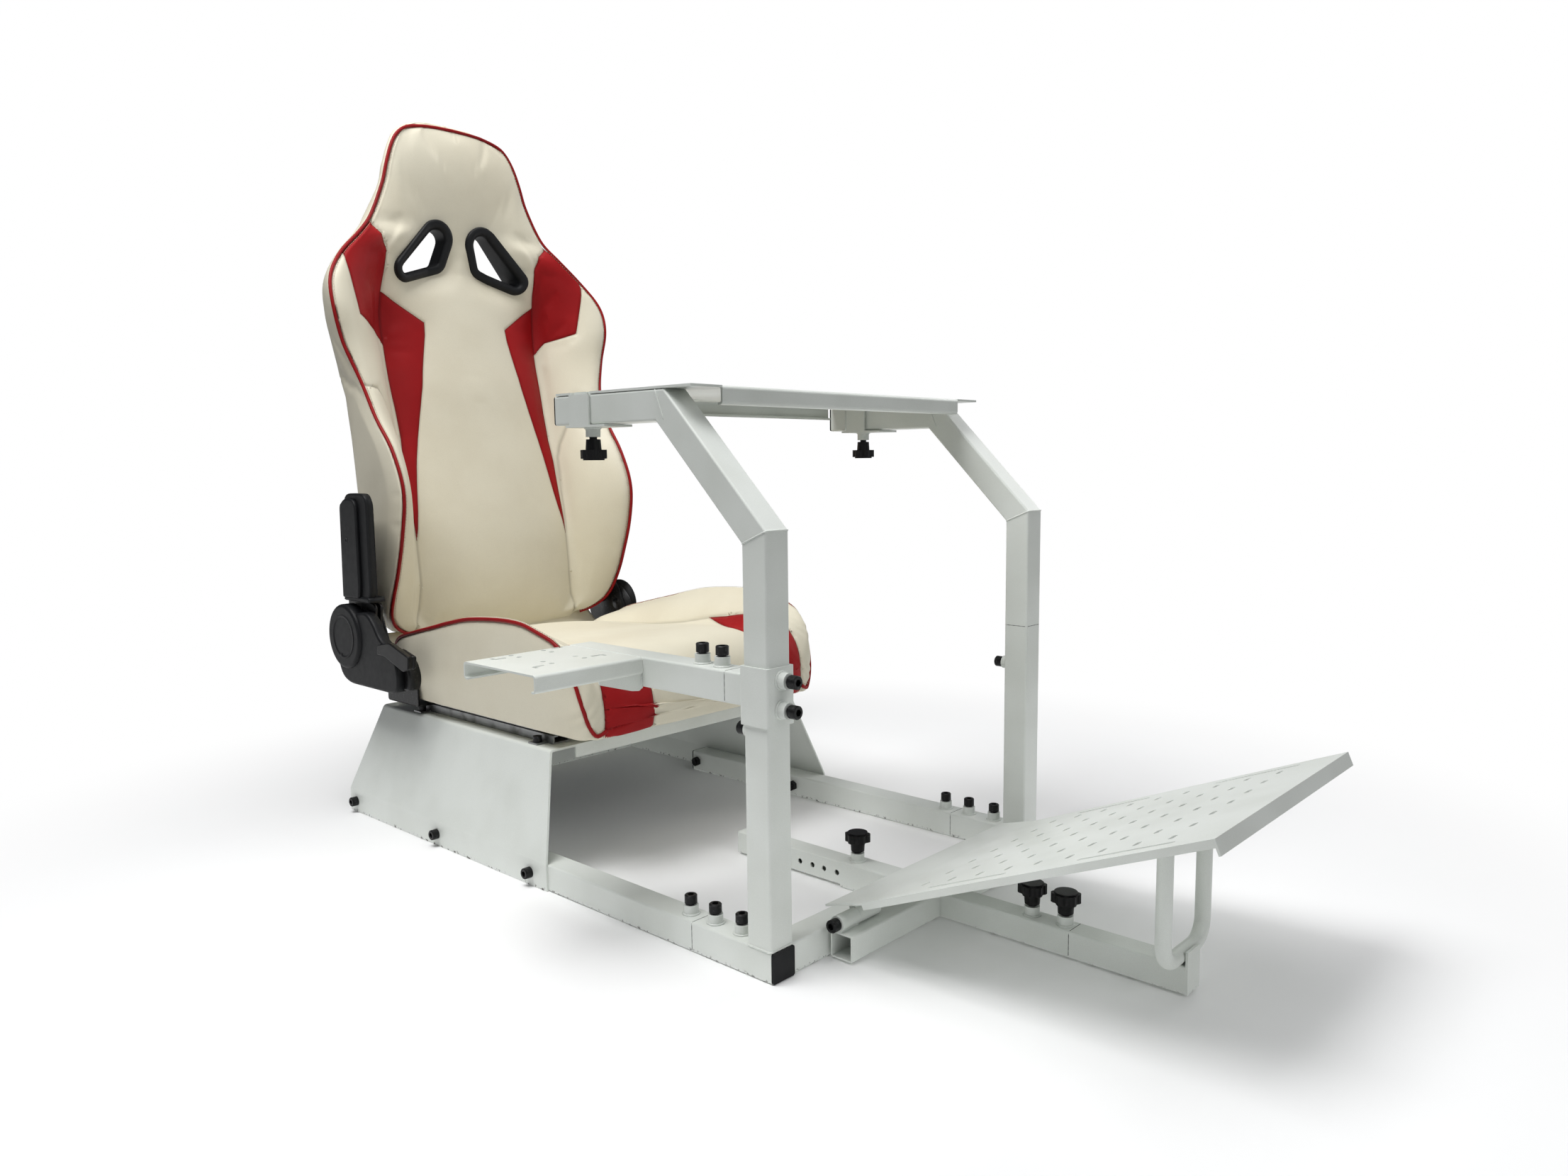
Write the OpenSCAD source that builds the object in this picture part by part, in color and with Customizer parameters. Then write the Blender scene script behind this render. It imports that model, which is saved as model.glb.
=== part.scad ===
// Sim racing cockpit: a bolted square-tube frame with a reclining bucket seat on
// runners, a plate for the wheel, a plate for the shifter and a tilting pedal plate.
// X runs across, Y runs back from the pedals to the seat, Z is up, in millimetres.
// The origin is under the middle of the front cross tube, at floor level.
// Right and left are the driver's, so the right side is at negative X.

/* [Frame tubes] */
// Side of the square main tube
tube = 38; // [36:0.5:42]
// Wall of every square tube
wall = 2; // [1.5:0.1:2.4]
// Outer corner radius of the square tubes
corner_r = 3; // [2.4:0.1:4]
// Gap on each side of a tube that slides inside the main tube
slide_gap = 0.5; // [0.3:0.1:0.8]
// Overall width of the frame
frame_w = 600; // [580:5:660]
// Distance from the front posts' centre to the seam in each rail
foot_len = 115; // [105:1:125]
// Rear end of the rails, from the front posts' centre
rail_end = 718; // [700:1:740]
// Height of the front posts up to the seam with the wheel arms
post_h = 352; // [345:1:380]
// Length of the spigots that join two tubes
spigot_len = 90; // [70:1:110]

/* [Wheel arms and plate] */
// Height of the wheel arms' top face
arm_top = 688; // [670:1:760]
// Slope of the slanted stretch of each arm
arm_slope = 45; // [40:1:50]
// Height of the first bend on the tube's centre line
arm_bend_z = 516; // [480:1:530]
// Rear end of the wheel arms
arm_end = 359; // [350:1:400]
// Thickness of the bent steel sheets
sheet = 3; // [2:0.5:4]
// Front edge of the wheel plate
deck_front = 97; // [90:1:120]
// Rear edge of the wheel plate
deck_rear = 357; // [340:1:370]
// Depth of the wheel plate's flanges below its top
deck_flange = 23; // [18:1:30]
// Place of the clamps along the arms
clamp_y = 305; // [270:1:315]

/* [Shifter support] */
// Height of the sleeve's lower edge
sleeve_z = 302; // [290:1:310]
// Height of the sleeve
sleeve_h = 68; // [60:1:80]
// Seam between the sleeve's stub and the arm
stub_end = 50; // [45:1:60]
// Rear end of the shifter arm
shift_arm_end = 345; // [330:1:360]
// Outer edge of the shifter plate, from the cockpit's centre plane
shift_plate_x = 460; // [430:1:500]
// Front and rear edges of the shifter plate
shift_plate_y = [195, 345]; // [150:1:360]
// Depth of the shifter plate's flanges
shift_flange = 22; // [18:1:30]

/* [Pedal support] */
// Rear end of the fixed pedal sleeve
pedal_sleeve_end = 111; // [100:1:125]
// Rear end of the sliding pedal tongue
tongue_end = 317; // [310:1:340]
// Front end of the tongue, at the seam with the extension
tongue_front = -243; // [-260:1:-235]
// Front end of the extension tube
prop_front = -386; // [-400:1:-375]
// Centre of the pedal cross tube
pedal_cross_y = -41; // [-44:1:-40]
// Width of the pedal plate and its cross tube
pedal_w = 400; // [380:5:440]
// Length of the pedal plate's face along its slope
pedal_len = 505; // [480:5:520]
// Slope of the pedal plate's face
pedal_slope = 22.7; // [20:0.1:25]
// Diameter of the pivot barrels
barrel_d = 20; // [18:0.5:22]
// Diameter of the round bar under the pedal plate
bar_d = 18; // [16:0.5:20]
// Distance between the bar's two legs
bar_gap = 108; // [90:1:120]

/* [Seat base] */
// Front lower corner of the side plates
base_front = 413; // [405:1:420]
// Rear lower corner of the side plates
base_rear = 993; // [985:1:1010]
// Height of the side plates' top
base_top = 188; // [180:1:200]
// Height of the side plates' upright lower strip
base_strip = 39; // [38.5:0.5:44]
// How far the side plates lean in
base_lean = 44; // [40:1:50]
// Width of the side plates' top flange
base_flange = 46; // [44:1:50]

/* [Seat] */
// Place of the recliner's pivot along the cockpit
pivot_y = 940; // [930:1:950]
// Height of the recliner's pivot
pivot_z = 313; // [310:1:318]
// Distance from the centre plane to the recliner's outer face
recliner_x = 325; // [322:1:330]
// Thickness of the recliner covers
recliner_t = 22; // [18:1:24]
// Half-width of the cushion at its piping
cushion_x = 264; // [255:1:268]
// Height of the cushion's underside
cushion_z = 209; // [209:0.5:214]

/* [Screws and knobs] */
// Diameter of the screws' threads
screw_d = 10; // [8:1:11]
// Diameter of the screws' socket heads
head_d = 16; // [14:0.5:18]
// Length of the screws' socket heads
head_l = 11; // [8:0.5:12]
// Diameter of the welded bosses
boss_d = 19; // [17:0.5:20]
// Length of the welded bosses
boss_l = 12; // [10:0.5:14]
// Diameter of the star knobs
knob_d = 36; // [32:1:40]

/* [Hidden] */
$fn = 48;
white = [0.87, 0.88, 0.86];
black = [0.07, 0.07, 0.075];
steel = [0.6, 0.61, 0.62];
cream = [0.88, 0.85, 0.76];
half = tube / 2;
side_x = frame_w / 2 - half;
inner = tube - 2 * wall - 2 * slide_gap;
inner_r = max(corner_r - wall, 0.6);
fit = 0.3;
pin_gap = 0.05;
bore_d = screw_d + 2 * pin_gap;
arm_z = arm_top - half;
arm_rise = arm_z - arm_bend_z;
arm_run = arm_rise / tan(arm_slope);
arm_path = [[0, post_h], [0, arm_bend_z], [arm_run, arm_z], [arm_end, arm_z]];
deck_z = arm_top + fit;
knob_h = 27;
stud_gap = 0.3;
pedal_floor = half - inner / 2;
pedal_top = half + inner / 2;
pedal_axis_y = pedal_cross_y + inner / 2 - barrel_d / 2;
pedal_axis_z = pedal_top + barrel_d / 2;
pedal_lift = 16.3;
bar_y = prop_front + bar_d / 2 + 1;
bar_foot_z = pedal_top + bar_d / 2;
bar_rest_gap = 1;
base_x = frame_w / 2;
shift_z = sleeve_z + sleeve_h - 10;

// Square outline with rounded corners
module rounded_square(w, h, r) {
    square([w - 2 * r, h], center = true);
    square([w, h - 2 * r], center = true);
    for (sx = [-1, 1], sy = [-1, 1])
        translate([sx * (w / 2 - r), sy * (h / 2 - r)]) circle(r);
}

// Square bar along +Z
module bar_z(side, len, r) {
    linear_extrude(len) rounded_square(side, side, r);
}

// Square tube along +Z
module tube_z(side, len, r = corner_r) {
    difference() {
        bar_z(side, len, r);
        translate([0, 0, -1]) bar_z(side - 2 * wall, len + 2, max(r - wall, 0.6));
    }
}

// Turns a piece that stands along +Z so that it runs along +Y
module along_y() {
    rotate([-90, 0, 0]) children();
}

// Turns a piece that stands along +Z so that it runs along +X
module along_x() {
    rotate([0, 90, 0]) children();
}

// Draws the children at both sides, the second one mirrored
module both_sides() {
    children();
    mirror([1, 0, 0]) children();
}

// Corner b of a path between a and c, as points on an arc of radius r
function corner(a, b, c, r) =
    let (u = (a - b) / norm(a - b), v = (c - b) / norm(c - b), h = acos(u * v) / 2,
        mid = b + (u + v) / norm(u + v) * r / sin(h), p = b + u * r / tan(h),
        q = b + v * r / tan(h))
    r == 0 ? [b] : [for (i = [0:5]) let (w = p + (q - p) * i / 5 - mid) mid + w * r / norm(w)];

// Outline with each corner rounded by its own radius
function rounded(p, r) = let (n = len(p))
    [for (i = [0:n - 1]) each corner(p[(i + n - 1) % n], p[i], p[(i + 1) % n], r[i])];

// Square bar in the YZ plane along a path, with mitred bends
module mitred_bar(path, side, r) {
    last = len(path) - 1;
    for (i = [0:last - 1]) {
        a = path[i];
        b = path[i + 1];
        turn = atan2(b[1] - a[1], b[0] - a[0]);
        run = norm(b - a);
        back = i == 0 ? turn : atan2(a[1] - path[i - 1][1], a[0] - path[i - 1][0]);
        next = i == last - 1 ? turn : atan2(path[i + 2][1] - b[1], path[i + 2][0] - b[0]);
        reach = run + 2 * side;
        intersection() {
            translate([0, a[0], a[1]]) rotate([turn, 0, 0])
                translate([0, -side, 0]) along_y() bar_z(side, reach, r);
            translate([0, a[0], a[1]]) rotate([(turn + back) / 2, 0, 0])
                translate([-side, 0, -reach]) cube([2 * side, reach, 2 * reach]);
            translate([0, b[0], b[1]]) rotate([(turn + next) / 2, 0, 0])
                translate([-side, -reach, -reach]) cube([2 * side, reach, 2 * reach]);
        }
    }
}

// Welded boss that stands along +Z, with a clear bore for its screw
module boss(len = boss_l) {
    difference() {
        cylinder(d = boss_d, h = len);
        translate([0, 0, -1]) cylinder(d = bore_d, h = len + 2);
    }
}

// Socket-head screw along +Z, with its head above z = 0 and its thread below
module socket_screw(thread) {
    difference() {
        union() {
            cylinder(d = head_d, h = head_l - 1);
            translate([0, 0, head_l - 1]) cylinder(d1 = head_d, d2 = head_d - 2, h = 1);
            translate([0, 0, -thread]) cylinder(d = screw_d, h = thread + 1);
        }
        translate([0, 0, head_l / 2]) cylinder(d = head_d * 0.55, h = head_l, $fn = 6);
    }
}

// Star knob on a threaded stud, along +Z, with the hub's foot at z = 0
module star_knob(thread) {
    hub_d = knob_d * 0.58;
    lobes = 6;
    translate([0, 0, -thread]) cylinder(d = screw_d, h = thread + 2);
    cylinder(d1 = hub_d - 2, d2 = hub_d, h = knob_h * 0.55);
    translate([0, 0, knob_h * 0.5]) difference() {
        union() {
            cylinder(d = knob_d - 3, h = knob_h * 0.5 - 2);
            for (i = [0:lobes - 1]) rotate([0, 0, i * 360 / lobes])
                translate([knob_d / 2 - 5, 0, 0]) cylinder(r = 5, h = knob_h * 0.5 - 2);
            cylinder(d = knob_d - 8, h = knob_h * 0.5);
        }
        for (i = [0:lobes - 1]) rotate([0, 0, (i + 0.5) * 360 / lobes])
            translate([knob_d / 2 + 1.5, 0, -1]) cylinder(r = 5, h = knob_h);
    }
}

// Frame

// Bores in the top wall of a tube that runs along Y, for the screws above it
module top_bores(places) {
    for (y = places) translate([0, y, tube - wall - 1]) cylinder(d = bore_d, h = wall + 2);
}

foot_screws = [foot_len - 69, foot_len - 23];
rail_screws = [foot_len + 21];

module foot() {
    difference() {
        translate([0, -half, half]) along_y() tube_z(tube, foot_len + half);
        top_bores(foot_screws);
    }
    for (y = foot_screws) translate([0, y, tube]) boss();
}

module right_foot() {
    color(white) translate([-side_x, 0, 0]) foot();
}

module left_foot() {
    color(white) translate([side_x, 0, 0]) foot();
}

post_screw_z = sleeve_z - boss_d / 2 - 1.5;

module post() {
    difference() {
        translate([0, 0, tube]) tube_z(tube, post_h - tube);
        translate([0, 0, post_screw_z]) along_y() cylinder(d = bore_d, h = tube);
    }
    translate([0, half, post_screw_z]) along_y() boss();
}

module right_post() {
    color(white) translate([-side_x, 0, 0]) post();
}

module left_post() {
    color(white) translate([side_x, 0, 0]) post();
}

module front_cross_tube() {
    color(white) both_sides()
        translate([half, 0, half]) along_x() tube_z(tube, side_x - tube);
}

module pedal_sleeve() {
    color(white) {
        difference() {
            translate([0, -half, half]) along_y() tube_z(tube, pedal_sleeve_end + half);
            top_bores([pedal_sleeve_end - 17]);
        }
        translate([0, pedal_sleeve_end - 17, tube]) boss();
    }
}

module rail() {
    difference() {
        translate([0, foot_len, half]) along_y() tube_z(tube, rail_end - foot_len);
        top_bores(rail_screws);
        for (y = side_plate_screws) translate([0, y, half])
            along_x() cylinder(d = bore_d, h = 2 * tube, center = true);
    }
    for (y = rail_screws) translate([0, y, tube]) boss();
    translate([0, foot_len - spigot_len, half]) along_y()
        tube_z(inner, spigot_len * 1.6, corner_r - 1);
    translate([0, foot_len + spigot_len * 0.5, half]) along_y()
        tube_z(tube - 2 * wall + 0.1, spigot_len * 0.1, inner_r);
}

module right_rail() {
    color(white) translate([-side_x, 0, 0]) rail();
}

module left_rail() {
    color(white) translate([side_x, 0, 0]) rail();
}

rear_tube_y = base_rear - half - 2;
side_plate_screws = [base_front + 40, rail_end - 12];
lean_front = 43;
lean_rear = 52;

// Bent side plate: an upright strip outside the rail, a sloping panel and a top flange
module side_plate() {
    outline = [
        [base_front, 0], [base_rear, 0], [base_rear, base_strip],
        [base_rear - lean_rear, base_top], [base_front + lean_front, base_top],
        [base_front, base_strip]
    ];
    out = base_x + sheet;
    section = rounded([
        [out, 0], [out, base_strip], [out - base_lean, base_top],
        [out - base_lean - base_flange, base_top],
        [out - base_lean - base_flange, base_top - sheet],
        [out - base_lean - sheet, base_top - sheet],
        [out - sheet, base_strip], [out - sheet, 0]
    ], [0, 9, 6, 0, 0, 3, 6, 0]);
    difference() {
        intersection() {
            translate([0, base_rear + 1, 0]) rotate([90, 0, 0])
                linear_extrude(base_rear - base_front + 2) polygon(section);
            rotate([90, 0, 90]) linear_extrude(out + 1) polygon(outline);
        }
        for (y = concat(side_plate_screws, [rear_tube_y])) translate([base_x - 2, y, half])
            along_x() cylinder(d = bore_d, h = sheet + 6);
        for (y = runner_screws) translate([runner_screw_x, y, base_top - sheet - 1])
            cylinder(d = runner_screw_d + 2 * pin_gap, h = sheet + 2);
    }
}

module right_side_plate() {
    color(white) mirror([1, 0, 0]) side_plate();
}

module left_side_plate() {
    color(white) side_plate();
}

beam_front = base_front + lean_front;
beam_rear = base_rear - lean_rear;
beam_depth = 20;
beam_w = 50;

// Angle beams that join the side plates' top flanges, front and rear
module seat_beams() {
    reach = base_x + sheet - base_lean - base_flange;
    color(white) {
        translate([-reach, beam_front, base_top - sheet]) cube([2 * reach, beam_w, sheet]);
        translate([-reach, beam_front, base_top - beam_depth])
            cube([2 * reach, sheet, beam_depth - sheet + 0.5]);
        translate([-reach, beam_rear - beam_w, base_top - sheet]) cube([2 * reach, beam_w, sheet]);
        translate([-reach, beam_rear - sheet, base_top - beam_depth])
            cube([2 * reach, sheet, beam_depth - sheet + 0.5]);
    }
}

module rear_floor_tube() {
    color(white) difference() {
        translate([-base_x, rear_tube_y, half]) along_x() tube_z(tube, 2 * base_x);
        for (s = [-1, 1]) translate([s * (base_x - 8), rear_tube_y, half])
            along_x() cylinder(d = bore_d, h = 40, center = true);
    }
    color(white) for (s = [-1, 1]) translate([s * (base_x - 6), rear_tube_y, half]) difference() {
        translate([-3, 0, 0]) along_x() bar_z(tube - 2 * wall + 0.1, 6, inner_r);
        along_x() cylinder(d = bore_d, h = 40, center = true);
    }
}

runner_screw_d = 8;
runner_x = base_x - 79;
runner_screw_x = runner_x + 25;
runner_screws = [505, 836];
runner_w = 30;
runner_h = 13;
runner_y = [480, 861];
runner_slot = 12;

// Fixed runners: channels open at the top, with an ear at each end for its screw
module lower_runner() {
    run = runner_y[1] - runner_y[0];
    translate([runner_x, runner_y[0], base_top + runner_h / 2]) along_y() difference() {
        translate([-runner_w / 2, -runner_h / 2, 0]) cube([runner_w, runner_h, run]);
        translate([-runner_w / 2 + 2.5, -runner_h / 2 + 2.5, -1])
            cube([runner_w - 5, runner_h - 5, run + 2]);
        translate([-runner_slot / 2, -runner_h, -1]) cube([runner_slot, runner_h, run + 2]);
    }
    for (y = runner_screws) difference() {
        translate([runner_x + runner_w / 2 - 0.5, y - 11, base_top])
            cube([runner_screw_x + 9 - runner_x - runner_w / 2 + 0.5, 22, 2.5]);
        translate([runner_screw_x, y, base_top - 1])
            cylinder(d = runner_screw_d + 2 * pin_gap, h = 5);
    }
}

module lower_runners() {
    color(steel) both_sides() lower_runner();
}

// Black plugs in the open tube ends that show, and behind the rails
module frame_plugs() {
    plug = tube - 2 * wall - 0.2;
    color(black) for (s = [-1, 1]) translate([s * side_x, 0, half]) {
        translate([0, -half - 3, 0]) along_y() bar_z(tube - 1, 3, corner_r);
        translate([0, -half, 0]) along_y() bar_z(plug, 12, inner_r);
        translate([0, rail_end, 0]) along_y() bar_z(tube - 1, 3, corner_r);
        translate([0, rail_end - 5, 0]) along_y() bar_z(plug, 5, inner_r);
    }
}

sleeve_screws = [sleeve_z + 19, sleeve_z + 53];
sleeve_wall = 3;
sleeve_half = half + fit + sleeve_wall;

module frame_screws() {
    wall_top = tube + boss_l;
    spigot_top = half + inner / 2 + stud_gap;
    color(black) {
        for (s = [-1, 1], y = concat(foot_screws, rail_screws))
            translate([s * side_x, y, wall_top + 2]) socket_screw(wall_top + 2 - spigot_top);
        for (s = [-1, 1]) translate([s * side_x, half + boss_l + 2, post_screw_z])
            along_y() socket_screw(half + boss_l + 2 - inner / 2 - stud_gap);
        for (z = sleeve_screws) translate([-side_x, -sleeve_half - boss_l - 3, z])
            rotate([90, 0, 0]) socket_screw(boss_l + 3 + sleeve_wall);
        for (s = [-1, 1], y = side_plate_screws) translate([s * (base_x + sheet), y, half])
            rotate([0, s * 90, 0]) {
                socket_screw(tube + sheet + 9);
                translate([0, 0, -tube - sheet - 8]) nut();
            }
        for (s = [-1, 1]) translate([s * (base_x + sheet), rear_tube_y, half])
            rotate([0, s * 90, 0]) socket_screw(30);
        for (s = [-1, 1], y = runner_screws) translate([s * runner_screw_x, y, base_top + 2.5]) {
            cylinder(d = 13, h = 9);
            translate([0, 0, -12]) cylinder(d = runner_screw_d, h = 12.5);
        }
    }
}

module nut() {
    cylinder(d = 18, h = 8, $fn = 6);
}

// Sleeve that clamps the shifter support to the right post, with its stub
module shifter_sleeve() {
    stub_z = shift_z - half;
    color(white) difference() {
        union() {
            translate([-side_x, 0, sleeve_z]) bar_z(2 * sleeve_half, sleeve_h, corner_r);
            for (z = sleeve_screws) translate([-side_x, -sleeve_half, z]) rotate([90, 0, 0])
                cylinder(d = boss_d, h = boss_l);
            translate([-side_x, sleeve_half - 1, stub_z]) along_y()
                tube_z(tube, stub_end - sleeve_half + 1);
            translate([-side_x, sleeve_half - 1, stub_z]) along_y()
                bar_z(tube - 2 * wall + 0.1, 8, inner_r);
            translate([-side_x, sleeve_half - 1, stub_z]) along_y()
                tube_z(inner, stub_end - sleeve_half + spigot_len + 20, corner_r - 1);
        }
        translate([-side_x, 0, sleeve_z - 1]) bar_z(2 * (half + fit), sleeve_h + 2, corner_r);
        for (z = sleeve_screws) translate([-side_x, -half, z]) rotate([90, 0, 0])
            cylinder(d = bore_d, h = boss_l + 10);
    }
}

// Wheel support

// One wheel arm with the spigot that slides in the post
module wheel_arm() {
    difference() {
        mitred_bar(arm_path, tube, corner_r);
        mitred_bar([arm_path[0] - [0, 1], arm_path[1], arm_path[2], arm_path[3] + [1, 0]],
            tube - 2 * wall, inner_r);
    }
    translate([0, 0, post_h - spigot_len - 50]) tube_z(inner, spigot_len + 50, corner_r - 1);
    translate([0, 0, post_h]) tube_z(tube - 2 * wall + 0.1, 50, inner_r);
}

module right_wheel_arm() {
    color(white) translate([-side_x, 0, 0]) wheel_arm();
}

module left_wheel_arm() {
    color(white) translate([side_x, 0, 0]) wheel_arm();
}

module arm_plugs() {
    color(black) for (s = [-1, 1]) translate([s * side_x, arm_end, arm_z]) {
        along_y() bar_z(tube - 1, 3, corner_r);
        translate([0, -12, 0]) along_y() bar_z(tube - 2 * wall - 0.2, 12, inner_r);
    }
}

deck_w = 2 * (side_x - half - 13);
deck_lip = 8;
deck_bend = 5;

// Quarter bend of a sheet along X, from the top face at Z = 0 into the face at Y = 0
module fold(len, t, bend) {
    translate([0, bend, -bend]) intersection() {
        along_x() difference() {
            cylinder(r = bend, h = len);
            translate([0, 0, -1]) cylinder(r = bend - t, h = len + 2);
        }
        translate([0, -bend, 0]) cube([len, bend, bend]);
    }
}

// Sheet along X with both edges folded down and a lip turned in below, top face at Z = 0
module channel(len, run, drop, lip, t, bend) {
    translate([0, bend, -t]) cube([len, run - 2 * bend, t]);
    for (f = [0, 1]) translate([0, f * run, 0]) mirror([0, f, 0]) {
        fold(len, t, bend);
        translate([0, 0, bend - drop]) cube([len, t, drop - 2 * bend]);
        translate([0, 0, -drop]) mirror([0, 0, 1]) fold(len, t, bend);
        translate([0, bend, -drop]) cube([len, lip - bend, t]);
    }
}

// Wheel plate: one sheet over both arms, with flanges between them
module wheel_plate() {
    run = deck_rear - deck_front;
    pitch = 70;
    holes_x = [-1.5, -0.5, 0.5, 1.5] * pitch;
    holes_y = [for (k = [0:2]) deck_front + 60 + k * pitch];
    color(white) difference() {
        union() {
            translate([-deck_w / 2, deck_front, deck_z + sheet])
                channel(deck_w, run, deck_flange, deck_lip, sheet, deck_bend);
            translate([-frame_w / 2, deck_front + deck_bend, deck_z])
                cube([frame_w, run - 2 * deck_bend, sheet]);
            for (s = [0, 1]) mirror([s, 0, 0]) translate([deck_w / 2, deck_front, deck_z])
                cube([(frame_w - deck_w) / 2, run, sheet]);
        }
        for (x = holes_x, y = holes_y) translate([x, y, deck_z - 1]) slot(19, 7, sheet + 2);
        for (s = [-1, 1], y = [clamp_y - 15, clamp_y + 15])
            translate([s * frame_w / 2 - 4, y - 4, deck_z - 1]) cube([8, 8, sheet + 2]);
    }
}

clamp_l = 40;
clamp_strap = 80;

// U-shaped straps round the arms' undersides, with the knobs' bosses
module deck_clamp() {
    lift = fit + 0.2;
    out = half + lift + sheet;
    bottom = arm_z - out;
    translate([side_x, 0, 0]) difference() {
        union() {
            translate([-out, clamp_y - clamp_l / 2, bottom])
                cube([2 * out, clamp_l, deck_z - bottom]);
            translate([-out, clamp_y - clamp_strap / 2 - 12, bottom])
                cube([2 * out, clamp_strap, sheet]);
            translate([0, clamp_y, bottom - boss_l]) cylinder(d = boss_d, h = boss_l + 0.5);
        }
        translate([-half - lift, clamp_y - clamp_strap, bottom + sheet])
            cube([2 * (half + lift), 2 * clamp_strap, 2 * tube]);
        translate([0, clamp_y, bottom - boss_l - 1]) cylinder(d = bore_d, h = boss_l + sheet + 2);
    }
}

module deck_clamps() {
    color(white) both_sides() deck_clamp();
}

module clamp_knob() {
    foot_z = arm_z - half - fit - 0.2 - sheet - boss_l - 3;
    translate([side_x, clamp_y, foot_z]) mirror([0, 0, 1])
        star_knob(arm_z - half - stud_gap - foot_z);
}

module right_clamp_knob() {
    color(black) mirror([1, 0, 0]) clamp_knob();
}

module left_clamp_knob() {
    color(black) clamp_knob();
}

// Shifter support

shift_screws = [stub_end + 22, stub_end + 56];

module shifter_arm() {
    color(white) translate([-side_x, 0, shift_z - tube]) {
        difference() {
            translate([0, stub_end, half]) along_y() tube_z(tube, shift_arm_end - stub_end);
            top_bores(shift_screws);
        }
        for (y = shift_screws) translate([0, y, tube]) boss();
    }
}

module shifter_screws() {
    top = shift_z + boss_l + 2;
    color(black) for (y = shift_screws) translate([-side_x, y, top])
        socket_screw(top - (shift_z - half + inner / 2 + stud_gap));
}

shift_plate_t = 2.5;
shift_middle = [-374, 291];
shift_pitch = [49, 68.5];
shift_pair = 9;
slot_corners = [[-428, 325, 1, 1], [-318, 337, -1, 1], [-322, 249, -1, -1], [-428, 244, 1, -1]];

// Shifter plate: a channel welded to the arm's outer face, with slots for shifters
module shifter_plate() {
    y0 = shift_plate_y[0];
    run = shift_plate_y[1] - y0;
    wide = shift_plate_x - frame_w / 2;
    t = shift_plate_t;
    color(white) difference() {
        union() {
            translate([-shift_plate_x, y0, shift_z])
                channel(wide, run, shift_flange, 8, t, 4.5);
            translate([-frame_w / 2, y0 + 2 * t, shift_z]) rotate([90, 0, 0]) linear_extrude(t)
                polygon(rounded([[0, -10], [-66, -10], [-66, -26], [-16, -41], [-1.5, -43],
                    [0, -36]], [0, 0, 4, 30, 5, 2]));
        }
        for (sx = [-0.5, 0.5], sy = [-0.5, 0.5], s = [-1, 1])
            translate([shift_middle[0] + sx * shift_pitch[0],
                shift_middle[1] + sy * shift_pitch[1] + s * shift_pair, shift_z - t - 1])
                cylinder(d = 7, h = t + 2);
        for (c = slot_corners) translate([c[0], c[1], shift_z - t - 1]) {
            translate([min(0, c[2] * 16), -2.5, 0]) cube([16, 5, t + 2]);
            translate([-2.5, min(0, c[3] * 9), 0]) cube([5, 9, t + 2]);
        }
    }
}

// Pedal support

tongue_stops = [119, 143, 165, 189];
prop_knobs = [tongue_front + 13, tongue_front + 59];

// Sliding centre tube of the pedal support
module pedal_tongue() {
    color(white) {
        difference() {
            translate([0, tongue_front, half]) along_y()
                tube_z(inner, tongue_end - tongue_front, corner_r - 0.5);
            for (y = tongue_stops) translate([0, y, half])
                along_x() cylinder(d = 8, h = 2 * inner, center = true);
            for (y = prop_knobs) translate([0, y, pedal_top - wall - 1])
                cylinder(d = bore_d, h = wall + 2);
        }
        for (y = prop_knobs) translate([0, y, pedal_top]) boss();
    }
}

barrel_len = 34;
barrel_gap = 0.3;

// Cross tube of the pedal support in two halves, with the fixed pivot barrels
module pedal_cross_tube() {
    reach = pedal_w / 2;
    color(white) both_sides() {
        translate([inner / 2, pedal_cross_y, half]) along_x()
            tube_z(inner, reach - inner / 2, corner_r - 0.5);
        difference() {
            union() {
                translate([reach - barrel_len, pedal_axis_y, pedal_axis_z]) along_x()
                    cylinder(d = barrel_d, h = barrel_len);
                translate([reach - barrel_len, pedal_axis_y - 6, pedal_top - 0.5])
                    cube([barrel_len, 12, 5]);
            }
            translate([reach - barrel_len - 1, pedal_axis_y, pedal_axis_z]) along_x()
                cylinder(d = bore_d, h = barrel_len + 2);
        }
    }
}

plate_barrel_x = pedal_w / 2 - barrel_len - barrel_gap;
plate_barrel_l = 40;

module pedal_pivot_screws() {
    reach = pedal_w / 2;
    color(black) for (s = [-1, 1])
        translate([s * (reach + 1), pedal_axis_y, pedal_axis_z]) rotate([0, s * 90, 0])
            socket_screw(barrel_len + plate_barrel_l);
}

module pedal_sleeve_knob() {
    foot_z = tube + boss_l + 3;
    color(black) translate([0, pedal_sleeve_end - 17, foot_z])
        star_knob(foot_z - pedal_top - stud_gap);
}

prop_inner = inner - 2 * wall - 1;

// Extension tube in front of the tongue, with its spigot and end plate
module pedal_prop() {
    color(white) {
        translate([0, prop_front, half]) along_y()
            tube_z(inner, tongue_front - prop_front, corner_r - 0.5);
        translate([0, tongue_front - 30, half]) along_y()
            tube_z(inner - 2 * wall + 0.1, 30, 0.8);
        translate([0, tongue_front - 1, half]) along_y() tube_z(prop_inner, 151, 0.8);
        translate([-inner / 2, prop_front - sheet, pedal_floor])
            cube([inner, sheet + 0.1, inner + 17]);
    }
}

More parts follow.
